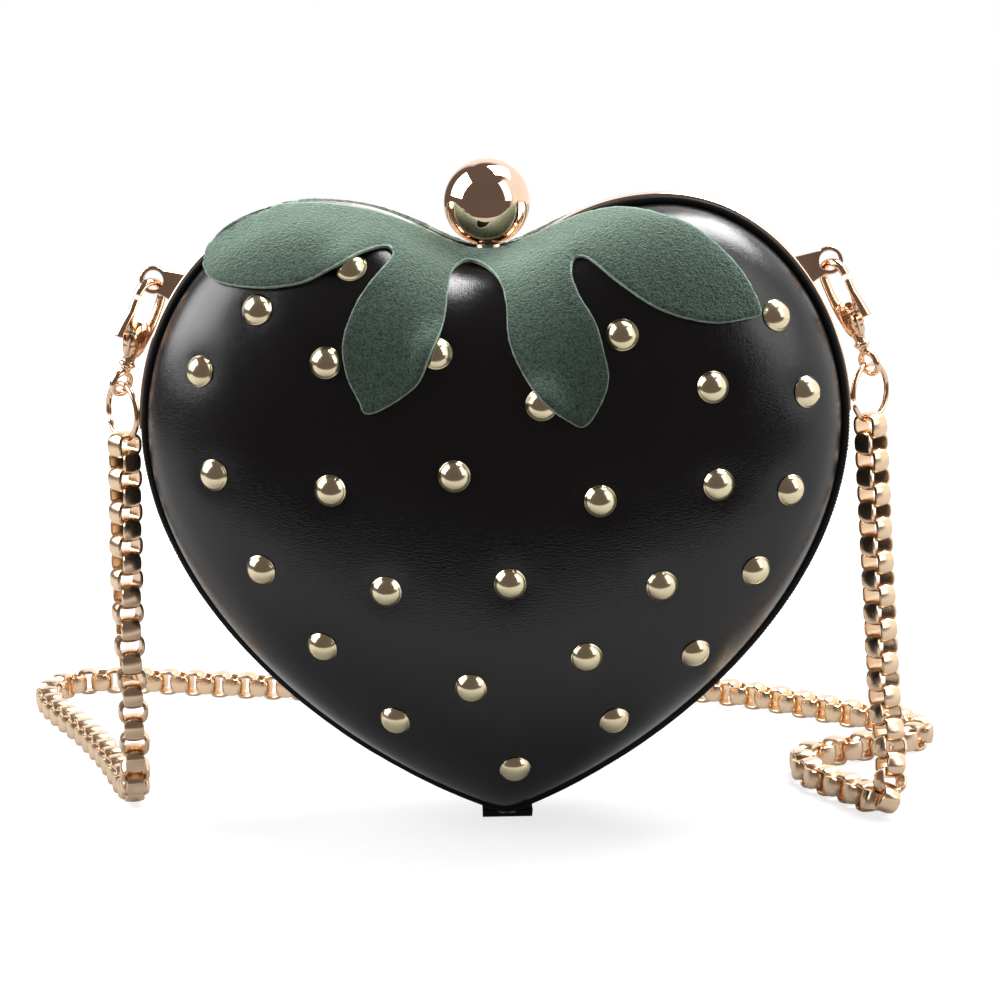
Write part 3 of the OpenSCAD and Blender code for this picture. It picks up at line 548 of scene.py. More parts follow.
def catmull(points, cuts):
    """A smooth line through points, with cuts steps between each two."""
    p = np.asarray(points, float)
    made = []
    for i in range(len(p) - 1):
        a, b, c, d = p[max(i - 1, 0)], p[i], p[i + 1], p[min(i + 2, len(p) - 1)]
        for t in np.arange(cuts) / cuts:
            bend = (2 * a - 5 * b + 4 * c - d) * t * t + (3 * b - a - 3 * c + d) * t**3
            made.append((2 * b + (c - a) * t + bend) / 2)
    made.append(p[-1])
    return np.array(made)


# ---------------------------------------------------------------- shader helpers
def feed(tree, socket, value):
    """Links a socket to another node's output, or sets its own value."""
    if isinstance(value, bpy.types.NodeSocket):
        tree.links.new(value, socket)
    else:
        socket.default_value = value


def wire(tree, node, **inputs):
    """Feeds inputs by name, with _ for a space."""
    for label, value in inputs.items():
        feed(tree, node.inputs[label.replace("_", " ")], value)


def add(tree, kind, inputs=None, **settings):
    made = tree.nodes.new(kind)
    for name, value in settings.items():
        setattr(made, name, value)
    for name, value in (inputs or {}).items():
        feed(tree, made.inputs[name], value)
    return made


def maths(tree, operation, *values):
    return add(tree, "ShaderNodeMath", dict(enumerate(values)), operation=operation).outputs[0]


def vectors(tree, operation, *values):
    return add(tree, "ShaderNodeVectorMath", dict(enumerate(values)), operation=operation).outputs


def noise(tree, where, scale, detail, **more):
    """A noise texture's factor, from 0 to 1."""
    inputs = {"Vector": where, "Scale": scale, "Detail": detail, **more}
    return add(tree, "ShaderNodeTexNoise", inputs).outputs["Fac"]


def remap(tree, value, low, high, to_low=0.0, to_high=1.0):
    ends = {"From Min": low, "From Max": high, "To Min": to_low, "To Max": to_high}
    return add(tree, "ShaderNodeMapRange", {"Value": value, **ends}).outputs["Result"]


def mixed(tree, factor, a, b, blend="MIX"):
    """A colour between a and b, each given as numbers or a socket."""
    made = add(tree, "ShaderNodeMix", data_type="RGBA", blend_type=blend)
    feed(tree, made.inputs["Factor"], factor)
    ends = (s for s in made.inputs if s.type == "RGBA")
    for socket, value in zip(ends, (a, b)):
        feed(tree, socket, value if isinstance(value, bpy.types.NodeSocket) else (*value[:3], 1))
    return next(s for s in made.outputs if s.type == "RGBA")


def shade(value, times):
    return tuple(min(1.0, c * times) for c in value[:3])


def effect(name, numbers, outputs):
    """A new node group that takes a Vector and named numbers, and its two end nodes."""
    tree = bpy.data.node_groups.new(name, "ShaderNodeTree")
    tree.interface.new_socket(name="Vector", in_out="INPUT", socket_type="NodeSocketVector")
    for label, default in numbers.items():
        socket = tree.interface.new_socket(name=label, in_out="INPUT", socket_type="NodeSocketFloat")
        socket.default_value = default
    for label in outputs:
        tree.interface.new_socket(name=label, in_out="OUTPUT", socket_type="NodeSocketFloat")
    return tree, add(tree, "NodeGroupInput").outputs, add(tree, "NodeGroupOutput")


def leather_grain():
    """Fine pebbled grain with creases between its cells, and slow patches of wear."""
    tree, given, out = effect("Leather Grain", {"Cells": 1700.0, "Patch": 22.0}, ("Height", "Patches"))
    where = given["Vector"]
    shift = add(tree, "ShaderNodeTexNoise", {"Vector": where, "Scale": 420.0, "Detail": 2.0}).outputs["Color"]
    moved = vectors(tree, "MULTIPLY_ADD", shift, (0.0007, 0.0007, 0.0007), where)[0]
    edge = add(tree, "ShaderNodeTexVoronoi", {"Vector": moved, "Scale": given["Cells"]}, feature="DISTANCE_TO_EDGE")
    cell = remap(tree, edge.outputs["Distance"], 0.0, 0.22)
    pores = noise(tree, where, 5200.0, 3.0)
    slow = noise(tree, where, given["Patch"], 4.0)
    wire(tree, out, Height=maths(tree, "MULTIPLY_ADD", pores, 0.25, cell), Patches=remap(tree, slow, 0.3, 0.7))
    return tree


def felt_fibre():
    """Short curled fibres, as a fine light and dark worming that is also their height, so the colour paints raised
    fibres lighter and their hollows darker as light and shade.
    """
    tree, given, out = effect("Felt Fibre", {"Curl": 1400.0}, ("Height", "Light", "Patches"))
    where = given["Vector"]
    curl = noise(tree, where, given["Curl"], 2.0, Roughness=0.6, Distortion=0.8)
    fine = remap(tree, noise(tree, where, 2600.0, 1.0), 0.3, 0.7, -0.25, 0.25)
    both = maths(tree, "ADD", remap(tree, curl, 0.32, 0.68, -0.5, 0.5), fine)
    wire(tree, out, Light=both, Height=both, Patches=noise(tree, where, 60.0, 3.0))
    return tree


def woven():
    """Crossed threads, over and under, as a height and a thread mask that is low in the gaps, used to paint shade
    between the threads.
    """
    tree, given, out = effect("Woven Thread", {"Threads": 1400.0}, ("Height", "Gaps"))
    parts = add(tree, "ShaderNodeSeparateXYZ", {0: given["Vector"]}).outputs
    across, along = (
        maths(tree, "SINE", maths(tree, "MULTIPLY", parts[axis], given["Threads"])) for axis in ("X", "Z")
    )
    fuzz = noise(tree, given["Vector"], 2600.0, 3.0)
    height = maths(tree, "MULTIPLY_ADD", fuzz, 0.5, maths(tree, "MULTIPLY", across, along))
    wire(tree, out, Height=height, Gaps=remap(tree, height, -0.6, 0.5))
    return tree


def metal_wear():
    """Haze, hairline scratches and slow unevenness of a plated metal."""
    tree, given, out = effect("Plating Wear", {"Haze": 160.0}, ("Roughness", "Tone", "Height"))
    where = given["Vector"]
    haze = noise(tree, where, given["Haze"], 5.0)
    drawn = {"Vector": where, "Rotation": (0.3, 0.5, 0.9), "Scale": (1.0, 14.0, 1.0)}
    scratch = noise(tree, add(tree, "ShaderNodeMapping", drawn).outputs[0], 900.0, 3.0)
    lines = remap(tree, scratch, 0.62, 0.75)
    rough = maths(tree, "MULTIPLY_ADD", lines, 0.35, haze)
    wire(tree, out, Roughness=rough, Tone=remap(tree, haze, 0.3, 0.75), Height=lines)
    return tree


EFFECTS = {"grain": leather_grain, "fibre": felt_fibre, "woven": woven, "plating": metal_wear}
GROUPS = {}
FINISHES = {}


def blank(name, **inputs):
    """A material with its Principled shader, and the object's own coordinates."""
    material = bpy.data.materials.new(name)
    material.use_nodes = True
    tree = material.node_tree
    shader = tree.nodes["Principled BSDF"]
    wire(tree, shader, **inputs)
    return material, tree, shader, add(tree, "ShaderNodeTexCoord").outputs["Object"]


def place_group(tree, name, where, **values):
    """The outputs of a shared effect, which is built when first asked for."""
    if name not in GROUPS:
        GROUPS[name] = EFFECTS[name]()
    return add(tree, "ShaderNodeGroup", {"Vector": where, **values}, node_tree=GROUPS[name]).outputs


def bump(tree, height, strength, distance):
    return add(tree, "ShaderNodeBump", {"Strength": strength, "Distance": distance, "Height": height}).outputs[0]


def leather_finish(name, base, roughness, cells, specular=0.5):
    material, tree, shader, where = blank(name, Coat_Weight=0.06, Coat_Roughness=0.2, Specular_IOR_Level=specular)
    grain = place_group(tree, "grain", where, Cells=cells)
    tone = mixed(tree, grain["Patches"], shade(base, 0.85), shade(base, 1.25))
    # Painted shade: the colour drops to 0.6 of the base in the grain's creases, over random patches of wear
    wire(
        tree, shader,
        Base_Color=mixed(tree, remap(tree, grain["Height"], 0.0, 0.6), shade(base, 0.6), tone),
        Roughness=remap(tree, grain["Patches"], 0, 1, roughness - 0.03, roughness + 0.05),
        Normal=bump(tree, grain["Height"], 0.2, 0.0001),
    )
    return material


def gold_finish(name, base, roughness, spread=0.06):
    material, tree, shader, where = blank(name, Metallic=1.0)
    wear = place_group(tree, "plating", where)
    wire(
        tree, shader,
        Base_Color=mixed(tree, wear["Tone"], shade(base, 0.94), shade(base, 1.03)),
        Roughness=remap(tree, wear["Roughness"], 0.3, 0.9, roughness, roughness + spread),
        Normal=bump(tree, wear["Height"], 0.04, 0.00002),
    )
    return material


def felt_finish(name, base, dark, light):
    material, tree, shader, where = blank(
        name, Roughness=0.95, Sheen_Weight=0.9, Sheen_Roughness=0.5, Sheen_Tint=(0.74, 1.0, 0.83, 1),
        Specular_IOR_Level=0.2,
    )
    fibre = place_group(tree, "fibre", where)
    # Painted light and shade: the colour follows the fibre height, from the dark share of the base in the hollows to
    # the light share on raised fibres; slow patches vary it at random
    tone = mixed(tree, remap(tree, fibre["Light"], -0.6, 0.6), shade(base, dark), shade(base, light))
    slow = mixed(tree, remap(tree, fibre["Patches"], 0.3, 0.7), shade((1, 1, 1), 0.88), (1, 1, 1))
    wire(
        tree, shader,
        Base_Color=mixed(tree, 1.0, tone, slow, "MULTIPLY"),
        Normal=bump(tree, fibre["Height"], 0.9, 0.0002),
    )
    return material


def cloth_finish(name, base, threads, strength, roughness):
    material, tree, shader, where = blank(name, Roughness=roughness, Sheen_Weight=0.15, Specular_IOR_Level=0.25)
    weave = place_group(tree, "woven", where, Threads=threads)
    # Painted shade and light: the gaps between threads are darkened to 0.55 of the base, the thread crowns lightened to
    # 1.15 times it
    wire(
        tree, shader,
        Base_Color=mixed(tree, weave["Gaps"], shade(base, 0.55), shade(base, 1.15)),
        Normal=bump(tree, weave["Height"], strength, 0.00008),
    )
    return material


def board_finish(name, base):
    material, tree, shader, where = blank(name, Specular_IOR_Level=0.3)
    grain = place_group(tree, "grain", where, Cells=2600.0, Patch=40.0)
    wire(
        tree, shader,
        Base_Color=mixed(tree, grain["Patches"], shade(base, 0.8), shade(base, 1.3)),
        Roughness=remap(tree, grain["Patches"], 0, 1, 0.55, 0.7),
        Normal=bump(tree, grain["Height"], 0.25, 0.00004),
    )
    return material


# Each finish: its maker, its material's name and the maker's values. Its colour has the same name in PurseColours
MAKERS = {
    "leather": (leather_finish, "Black Leather", {"roughness": 0.21, "cells": 1500.0}),
    "piping": (leather_finish, "Leather Piping", {"roughness": 0.60, "cells": 2100.0, "specular": 0.2}),
    "tape": (cloth_finish, "Edge Tape", {"threads": 5200.0, "strength": 0.5, "roughness": 0.7}),
    "felt": (felt_finish, "Green Felt", {"dark": 0.12, "light": 2.3}),
    # The felt edge finish paints a highlight along the felt's cut edge and its walls
    "felt_edge": (felt_finish, "Felt Cut Edge", {"dark": 0.62, "light": 1.15}),
    "lining": (cloth_finish, "Woven Lining", {"threads": 4200.0, "strength": 0.4, "roughness": 0.85}),
    "rim": (gold_finish, "Champagne Rim", {"roughness": 0.07}),
    "stud": (gold_finish, "Pale Stud Gold", {"roughness": 0.15}),
    "ball": (gold_finish, "Ball Rose Gold", {"roughness": 0.025, "spread": 0.02}),
    "fitting": (gold_finish, "Fitting Gold", {"roughness": 0.13}),
    "chain": (gold_finish, "Chain Gold", {"roughness": 0.21}),
    "steel": (gold_finish, "Plated Steel", {"roughness": 0.24, "spread": 0.12}),
    "hinge": (gold_finish, "Blackened Steel", {"roughness": 0.38, "spread": 0.12}),
    "shell": (board_finish, "Moulded Board", {}),
}


def finish(name):
    """The named finish, made once."""
    if name not in FINISHES:
        maker, label, values = MAKERS[name]
        FINISHES[name] = maker(label, getattr(colours(), name), **values)
    return FINISHES[name]


# ---------------------------------------------------------------- stage and camera
class PURSE_OT_camera(bpy.types.Operator):
    """Places the camera at the photograph's viewing angle"""

    bl_idname = "purse.camera"
    bl_label = "Camera"

    def execute(self, context):
        elevation, azimuth, roll = (math.radians(v) for v in (CAMERA_ELEVATION, CAMERA_AZIMUTH, CAMERA_ROLL))
        level = math.cos(elevation)
        back = Vector((math.sin(azimuth) * level, -math.cos(azimuth) * level, math.sin(elevation)))
        right = (-back).cross(Vector((0, 0, 1))).normalized()
        up = right.cross(-back)
        turned = right * math.cos(roll) + up * math.sin(roll)
        upright_side = up * math.cos(roll) - right * math.sin(roll)
        data = bpy.data.cameras.new("Camera")
        data.lens, data.sensor_width = CAMERA_LENS, 36.0
        data.clip_start, data.clip_end = 0.05, 20.0
        made = linked("Camera", data)
        axes = Matrix((turned, upright_side, back)).transposed().to_4x4()
        axes.translation = Vector(CAMERA_AIM) + back * CAMERA_DISTANCE
        made.matrix_world = axes
        context.scene.camera = made
        return {"FINISHED"}


class PURSE_OT_stage(bpy.types.Operator):
    """Builds the plain pale floor, with painted shade round the purse, the white surroundings and the soft studio lamps
    """

    bl_idname = "purse.stage"
    bl_label = "Stage"

    WHITE = (1, 1, 1)
    BRIGHT, DIM = (1.1, 1.1, 1.1), (0.135, 0.110, 0.104)
    DIM_HEADING = math.radians(-40)  # where the middle of the dim side lies

    def floor(self):
        steps, wide, near, far = 24, 900.0, -200.0, 1300.0
        points = [(x, y, 0) for y in np.linspace(near, far, steps + 1) for x in np.linspace(-wide, wide, steps + 1)]
        material, tree, shader, where = blank("Studio Floor", Roughness=0.8, Specular_IOR_Level=0.1)
        pale = mixed(tree, noise(tree, where, 3.0, 3.0), (0.245, 0.245, 0.245), (0.265, 0.265, 0.265))
        path = add(tree, "ShaderNodeLightPath").outputs
        away = vectors(tree, "LENGTH", where)["Value"]
        # Painted shade round the purse: seen by the camera the floor glows less within about a quarter metre of it, and
        # in reflections it glows much less close to it, a painted shadow under it.
        shown = maths(tree, "MULTIPLY", path["Is Camera Ray"], remap(tree, away, 0.08, 0.24, 0.74, 1.0))
        reflected = maths(tree, "MAXIMUM", path["Is Glossy Ray"], path["Is Transmission Ray"])
        glow_with_painted_shadow = maths(tree, "MULTIPLY", reflected, remap(tree, away, 0.04, 0.25, 0.06, 0.26))
        strength = maths(tree, "ADD", glow_with_painted_shadow, shown)
        wire(tree, shader, Base_Color=pale, Emission_Color=(*self.WHITE, 1), Emission_Strength=strength)
        add_mesh("Floor", points, band(steps + 1, steps + 1, closed_columns=False), material)

    def surroundings(self, scene):
        """White to the camera. Reflections see a bright band at the back right, and a dim room elsewhere."""
        scene.world = bpy.data.worlds.new("Studio")
        scene.world.use_nodes = True
        tree = scene.world.node_tree
        tree.nodes.clear()
        where = add(tree, "ShaderNodeTexCoord").outputs["Generated"]
        parts = add(tree, "ShaderNodeSeparateXYZ", {0: where}).outputs
        flat = add(tree, "ShaderNodeCombineXYZ", {"X": parts["X"], "Y": parts["Y"]}).outputs[0]
        dim_side = (math.sin(self.DIM_HEADING), -math.cos(self.DIM_HEADING), 0)
        toward = vectors(tree, "DOT_PRODUCT", vectors(tree, "NORMALIZE", flat)[0], dim_side)["Value"]
        dim = maths(tree, "MAXIMUM", remap(tree, toward, -0.50, -0.28), remap(tree, parts["Z"], 0.70, 0.82))
        seen = add(tree, "ShaderNodeLightPath").outputs["Is Camera Ray"]
        shown = mixed(tree, seen, mixed(tree, dim, self.BRIGHT, self.DIM), self.WHITE)
        light = add(tree, "ShaderNodeBackground", {"Color": shown, "Strength": 1.0}).outputs[0]
        wire(tree, add(tree, "ShaderNodeOutputWorld"), Surface=light)

    def lamp(self, name, place, aim, size, power):
        data = bpy.data.lights.new(name, "AREA")
        data.shape, data.size, data.size_y, data.energy = "RECTANGLE", *size, power
        made = linked(name, data)
        made.location = place
        made.rotation_euler = (Vector(aim) - Vector(place)).to_track_quat("-Z", "Y").to_euler()
        made.visible_camera = False

    def execute(self, context):
        self.floor()
        self.surroundings(context.scene)
        for name, values in LAMPS.items():
            self.lamp(name, *values)
        context.scene.view_settings.view_transform = "Standard"
        return {"FINISHED"}


# ---------------------------------------------------------------- strap
def strap_path():
    """The strap's centreline in millimetres, from the left ring to the right one."""
    cx, cy, cz = COIL_CENTRE
    coil = []
    for i in range(2 * COIL_STEPS + 1):
        t = i / COIL_STEPS
        angle = math.radians(90 - 360 * t)
        radius = COIL_RADIUS - COIL_PITCH * (t if t < 1 else 2 - t)
        lift = min(max(2 * t - 1.5, 0), 1)
        z = cz + COIL_LIFT * lift * lift * (3 - 2 * lift)
        coil.append((cx + radius * math.cos(angle), cy + radius * math.sin(angle), z))
    x, y, z = LINK_TOP
    points = [(-x, y, z), *LEFT_RUN, *coil, *RIGHT_RUN, (x, y, z)]
    return catmull(points, 12)


def level_turn(side, degrees):
    """The level direction of a hanging link's hole, in the row frame."""
    turn = math.radians(degrees)
    return np.array([side * math.cos(turn), math.sin(turn), 0])


def rolls(path, sides, ups):
    """How far the chain is rolled at each point: it hangs turned by its end links, and lies on a flat face."""
    count = len(path)
    low, behind = 6, 60  # the chain lies where it is lower, or further back
    lying = [i for i in range(count) if path[i][2] < low or path[i][1] > behind]
    first, last = lying[0], lying[-1]
    middle, clear, step = (first + last) // 2, 90, 12
    flat = np.array([0, 0, 1.0])
    left = [(int(first * share), level_turn(-1, turn)) for share, turn in LEFT_LINK_TURNS]
    left += [(i, flat) for i in range(first, middle - clear, step)]
    right = [(count - 1 - int((count - last) * share), level_turn(1, turn)) for share, turn in RIGHT_LINK_TURNS]
    right += [(i, flat) for i in range(last, middle + clear, -step)]
    quarter = math.pi / 2
    runs = []
    for wanted in (left, right):
        values = []
        for i, target in wanted:
            angle = math.atan2(target @ ups[i], target @ sides[i])
            if values:
                angle += quarter * round((values[-1] - angle) / quarter)
            values.append(angle)
        runs.append(np.array(values))
    runs[1] += math.pi * round((runs[0][-1] - runs[1][-1]) / math.pi)
    places = [i for i, _ in left] + [i for i, _ in reversed(right)]
    return np.interp(np.arange(count), places, np.concatenate([runs[0], runs[1][::-1]]))


def link_shape(strip, thickness, half_wide, half_long, steps=32):
    """One link of a box chain: a broad strip bent into a rounded square loop, with crowned plates and eased edges."""
    square, ease, crown, waist = 2 / 2.9, 0.22, 0.40, 0.14
    wide, tall = half_wide - thickness / 2, half_long - thickness / 2
    edge, face = strip / 2, thickness / 2
    section = [(edge, face - ease), (edge - ease, face)]
    section += [(strip * share, face) for share in (0.25, 0, -0.25)]
    section += [(ease - edge, face), (-edge, face - ease), (-edge, ease - face), (ease - edge, -face)]
    section += [(edge - ease, -face), (edge, ease - face)]
    points = []
    for k in range(steps):
        angle = 2 * math.pi * (k + 0.5) / steps
        c, q = math.cos(angle), math.sin(angle)
        y = wide * math.copysign(abs(c) ** square, c)
        z = tall * math.copysign(abs(q) ** square, q)
        slope = [math.copysign(abs(c) ** (2 - square), c) / wide, math.copysign(abs(q) ** (2 - square), q) / tall]
        normal = unit(np.array([0, *slope]))
        narrow = 1 - waist * smoothstep(0.3, 1.0, abs(z) / tall)
        for across, out in section:
            swell = crown * (1 - (2 * across / strip) ** 2) if out > 0 else 0
            points.append(np.array([across * narrow, y, z]) + normal * (out + swell))
    return np.array(points), band(steps, len(section), closed_rows=True)


class PURSE_OT_chain(bpy.types.Operator):
    bl_idname = "purse.chain"
    bl_label = "Chain strap"

    def execute(self, context):
        s = sizes()
        path = strap_path()
        total = run_length(path)
        count = 2 * round(total / (s.link_pitch / MM) / 2)
        dense = evenly(path, count * STEPS_PER_LINK)
        along, sides, ups = carried(dense, level_turn(-1, LEFT_LINK_TURNS[0][1]))
        roll = rolls(dense, sides, ups)
        thickness = s.link_thickness / MM
        half_long = (total / count + 2 * thickness + 0.05) / 2
        shape, faces = link_shape(s.link_strip / MM, thickness, s.chain_width / MM / 2, half_long)
        points, all_faces = [], []
        for k in range(count + 1):
            i = k * STEPS_PER_LINK
            turn = roll[i] + (math.pi / 2 if k % 2 else 0)
            hole = math.cos(turn) * sides[i] + math.sin(turn) * ups[i]
            points.append(dense[i] + shape @ np.stack([hole, np.cross(along[i], hole), along[i]]))
            all_faces += [tuple(k * len(shape) + v for v in f) for f in faces]
        chain = outward(add_mesh("Chain_strap", np.concatenate(points), all_faces, finish("chain")))
        by_angle(chain, 40)
        stands_for = ("chain_left", "chain_coil", "chain_right", "left_end_link", "right_end_link")
        dressed(chain, "back", "chain_gold", *stands_for)
        return {"FINISHED"}


# ---------------------------------------------------------------- heart box
class PURSE_OT_leather(bpy.types.Operator):
    """Builds the two padded leather domes, drawn in a little under each stud"""

    bl_idname = "purse.leather"
    bl_label = "Padded leather"

    def execute(self, context):
        heart, s = Heart(), sizes()
        lip = upright(heart.layer(DOME_IN + 0.9, COVER_ROUND), heart.rim_depth + 0.1)
        rings = [lip, *heart.dome(heart.cover, s.dome_rows, heart.rise)]
        points, faces = closed_dome(rings, heart.crown)
        hollow = 5.2  # how wide each stud's hollow is
        for seat, normal in zip(*heart.stud_seats()):
            away = np.linalg.norm(points - seat, axis=1)
            pull = s.stud_sink / MM * np.exp(-((away / hollow) ** 2))
            points = points - pull[:, None] * normal
        for half, made in on_both_halves("leather", points, faces, finish("leather")):
            thickened(made, 0.0012, -1)
            dressed(made, half, "leather", f"{half}_cover")
        return {"FINISHED"}


class PURSE_OT_piping(bpy.types.Operator):
    """Builds the leather piping round the foot of each dome"""

    bl_idname = "purse.piping"
    bl_label = "Leather piping"

    def execute(self, context):
        heart = Heart(220)
        radius = sizes().piping_radius / MM
        sides, lift, squeeze, unevenness = 14, 0.45, 0.62, 0.03
        flat = heart.layer(PIPING_IN, PIPING_ROUND)
        inner = heart.layer(PIPING_IN + 1, PIPING_ROUND) - flat
        random = np.random.default_rng(5)
        slow = np.convolve(random.normal(size=len(flat) + 8), np.ones(9) / 3, mode="valid")
        swell = radius * (1 + unevenness * slow)[:, None]
        points = np.repeat(upright(flat, heart.rim_depth + lift)[:, None], sides, axis=1)
        across, out = ring_of(sides).T
        points[..., [0, 2]] += (swell * across)[..., None] * inner[:, None]
        points[..., 1] += squeeze * swell * out
        faces = band(len(flat), sides, closed_rows=True)
        for half, made in on_both_halves("piping_cord", points.reshape(-1, 3), faces, finish("piping")):
            dressed(made, half, "leather_piping", f"{half}_piping")
        return {"FINISHED"}


def rim_line(heart, upper=True):
    """The outline's upper part, between the gold rim's ends, or the lower V, as an open line with its inward sides."""
    end = TIP_Z + RIM_END_SHARE * heart.height
    line = heart.outline
    both = np.concatenate([line, inset(line, 1) - line], axis=1)
    keep = line[:, 1] >= end if upper else line[:, 1] <= end
    start = next(i for i in range(len(line)) if keep[i] and not keep[i - 1])
    both, count = np.roll(both, -start, axis=0), keep.sum()

    def at_end(inner, outer):
        share = (end - inner[1]) / (outer[1] - inner[1])
        return inner + share * (outer - inner)

    made = np.stack([at_end(both[0], both[-1]), *both[:count], at_end(both[count - 1], both[count])])
    return made[:, :2], made[:, 2:]


def eased_box(inner, outer, near, far, radii):
    """A rounded rectangle of (inward distance, depth), with a radius for each corner."""
    made = []
    for quarter, (d, y) in enumerate(((outer, far), (inner, far), (inner, near), (outer, near))):
        radius = radii[quarter]
        centre_d = d + (radius if d == inner else -radius)
        centre_y = y + (-radius if y == far else radius)
        for angle in math.pi / 2 * (quarter + np.arange(7) / 6):
            made.append((centre_d + radius * math.cos(angle), centre_y + radius * math.sin(angle)))
    return np.array(made)


def swept(line, sides, section, extra=0.0):
    """Sweeps a section of (inward distance, depth) along an open line of the seam plane."""
    inward, depth = (np.broadcast_to(column, (len(line), len(section))) for column in section.T)
    flat = line[:, None] + (inward + extra)[..., None] * sides[:, None]
    points = np.stack([flat[..., 0], depth, flat[..., 1]], axis=-1)
    return points.reshape(-1, 3), tube_faces(*inward.shape)


class PURSE_OT_rim(bpy.types.Operator):
    """Builds the two halves of the gold rim over the lobes"""

    bl_idname = "purse.rim"
    bl_label = "Gold rim"

    def execute(self, context):
        heart, s = Heart(260), sizes()
        line, sides = rim_line(heart)
        section = eased_box(0, s.rim_thickness / MM, 0.15, heart.rim_depth, (1.2, 0.5, 0.4, 0.15))
        points, faces = swept(line, sides, section)
        reach = s.ball_width / MM / 2 + 0.25  # the dip leaves room for the pressed ball
        away = points[:, 0] ** 2 + points[:, 1] ** 2
        floor = BALL_Z - BALL_TRAVEL - np.sqrt(np.maximum(reach**2 - away, 0))
        under = (away < reach**2) & (points[:, 2] > floor)
        points[under, 2] = floor[under]
        for half, made in on_both_halves("rim", points, faces, finish("rim")):
            carve(made, rod((0, 0, 140), (0, 0, 156), RIM_BORE[half], 64))
            by_angle(made, 45)
            dressed(made, half, "rim_gold", f"{half}_frame")
        return {"FINISHED"}


class PURSE_OT_tape(bpy.types.Operator):
    """Builds the ribbed woven tape round the lower V of each half"""

    bl_idname = "purse.tape"
    bl_label = "Edge tape"

    def execute(self, context):
        heart, s = Heart(420), sizes()
        line, sides = rim_line(heart, upper=False)
        steps = round(run_length(line) / 0.24)
        both = evenly(np.concatenate([line, sides], axis=1), steps)
        section = eased_box(TAPE_IN - 0.1, s.rim_thickness / MM, 0.17, heart.rim_depth - 0.02, (0.1, 0.45, 0.3, 0.1))
        outer = section[:, 0] < 1.2  # only the outer side is ribbed
        ribs = 0.16 * np.cos(np.arange(steps + 1) * 2 * np.pi / 4)
        slow = np.random.default_rng(8).normal(0, 0.03, steps + 1)
        points, faces = swept(both[:, :2], both[:, 2:], section, (ribs + slow)[:, None] * outer)
        for half, made in on_both_halves("woven_edge", points, faces, finish("tape")):
            # Room for the hinge's knuckles
            carve(made, rod((-7.1, 0, 2.6), (7.1, 0, 2.6), 3.25, 48))
            dressed(made, half, "edge_tape", f"{half}_edge_tape")
        return {"FINISHED"}


class PURSE_OT_lining(bpy.types.Operator):
    """Builds the woven lining inside each half, with soft tucks at its mouth"""

    bl_idname = "purse.lining"
    bl_label = "Lining"

    TUCKS = ((0.10, 34, 0.4), (0.08, 57, 2.1), (0.05, 89, 4.4))  # height, how many round the mouth, and start

    def execute(self, context):
        heart, s = Heart(), sizes()
        base = heart.layer(LINING_IN, LINING_ROUND)
        mouth = inset(heart.outline, s.rim_thickness / MM + 3.4)
        rings = [upright(mouth, depth) for depth in (0.25, 1.6, 3.4)]
        rings += heart.dome(base, 26, heart.rise - LINING_UNDER)
        along = np.cumsum(np.linalg.norm(np.diff(base, axis=0, append=base[:1]), axis=1))
        tuck = sum(a * np.sin(along * 2 * np.pi * n / along[-1] + p) for a, n, p in self.TUCKS)
        random = np.random.default_rng(11)
        for j, ring in enumerate(rings):
            fade = math.exp(-(((j - 4) / 7) ** 2))
            toward = unit(np.array([0, 2.0, heart.centre[1]]) - ring)
            ring += (fade * (tuck + 0.12))[:, None] * toward + random.normal(0, 0.012, ring.shape)
        points, faces = closed_dome(rings, heart.crown - [0, LINING_UNDER, 0])
        x, z = points[:, 0], points[:, 2]
        hinge = (np.abs(x) < 6.6) & (z < 12.5)
        points[hinge, 1] = np.maximum(points[hinge, 1], 1.4)
        for half, sign in HALVES:
            shaped, bore = points.copy(), LINING_BORE[half]
            stem = (x**2 + shaped[:, 1] ** 2 < bore**2) & (z > 130)
            shaped[stem, 1] = np.sqrt(bore**2 - x[stem] ** 2)
            made = outward(add_mesh(f"{half}_lining_cloth", mirrored(shaped, sign), faces, finish("lining")))
            thickened(made, 0.0004, 0)
            dressed(made, half, "lining", f"{half}_lining")
        return {"FINISHED"}


# ---------------------------------------------------------------- studs and felt
def stud_profile(radius, height):
    """(distance from the axis, height) of a domed stud with a turned-in foot."""
    sphere = (radius * radius + height * height) / (2 * height)
    angles = np.linspace(0, math.asin(0.965 * radius / sphere), 14)
    top = [(sphere * math.sin(a), height - sphere + sphere * math.cos(a)) for a in angles]
    return top + [(radius, 0.22), (radius, 0.05), (radius - 0.25, -0.35)]


def lathe(profile, sides):
    """Points and faces turned round +Z. The profile starts on the axis."""
    shape = ring_of(sides, 0)
    points = [(0, 0, profile[0][1])]
    for radius, height in profile[1:]:
        points += [(radius * c, radius * s, height) for c, s in shape]
    faces = [(0, 1 + i, 1 + (i + 1) % sides) for i in range(sides)]
    faces += band(len(profile) - 1, sides, start=1)
    faces.append(tuple(1 + (len(profile) - 2) * sides + i for i in range(sides - 1, -1, -1)))
    return np.array(points), faces


def facing(normal):
    """Axes whose third points along a unit normal."""
    side = unit(np.cross([0, 0, 1.0], normal)) if abs(normal[2]) < 0.95 else np.array([1.0, 0, 0])
    return np.stack([side, np.cross(normal, side), normal])


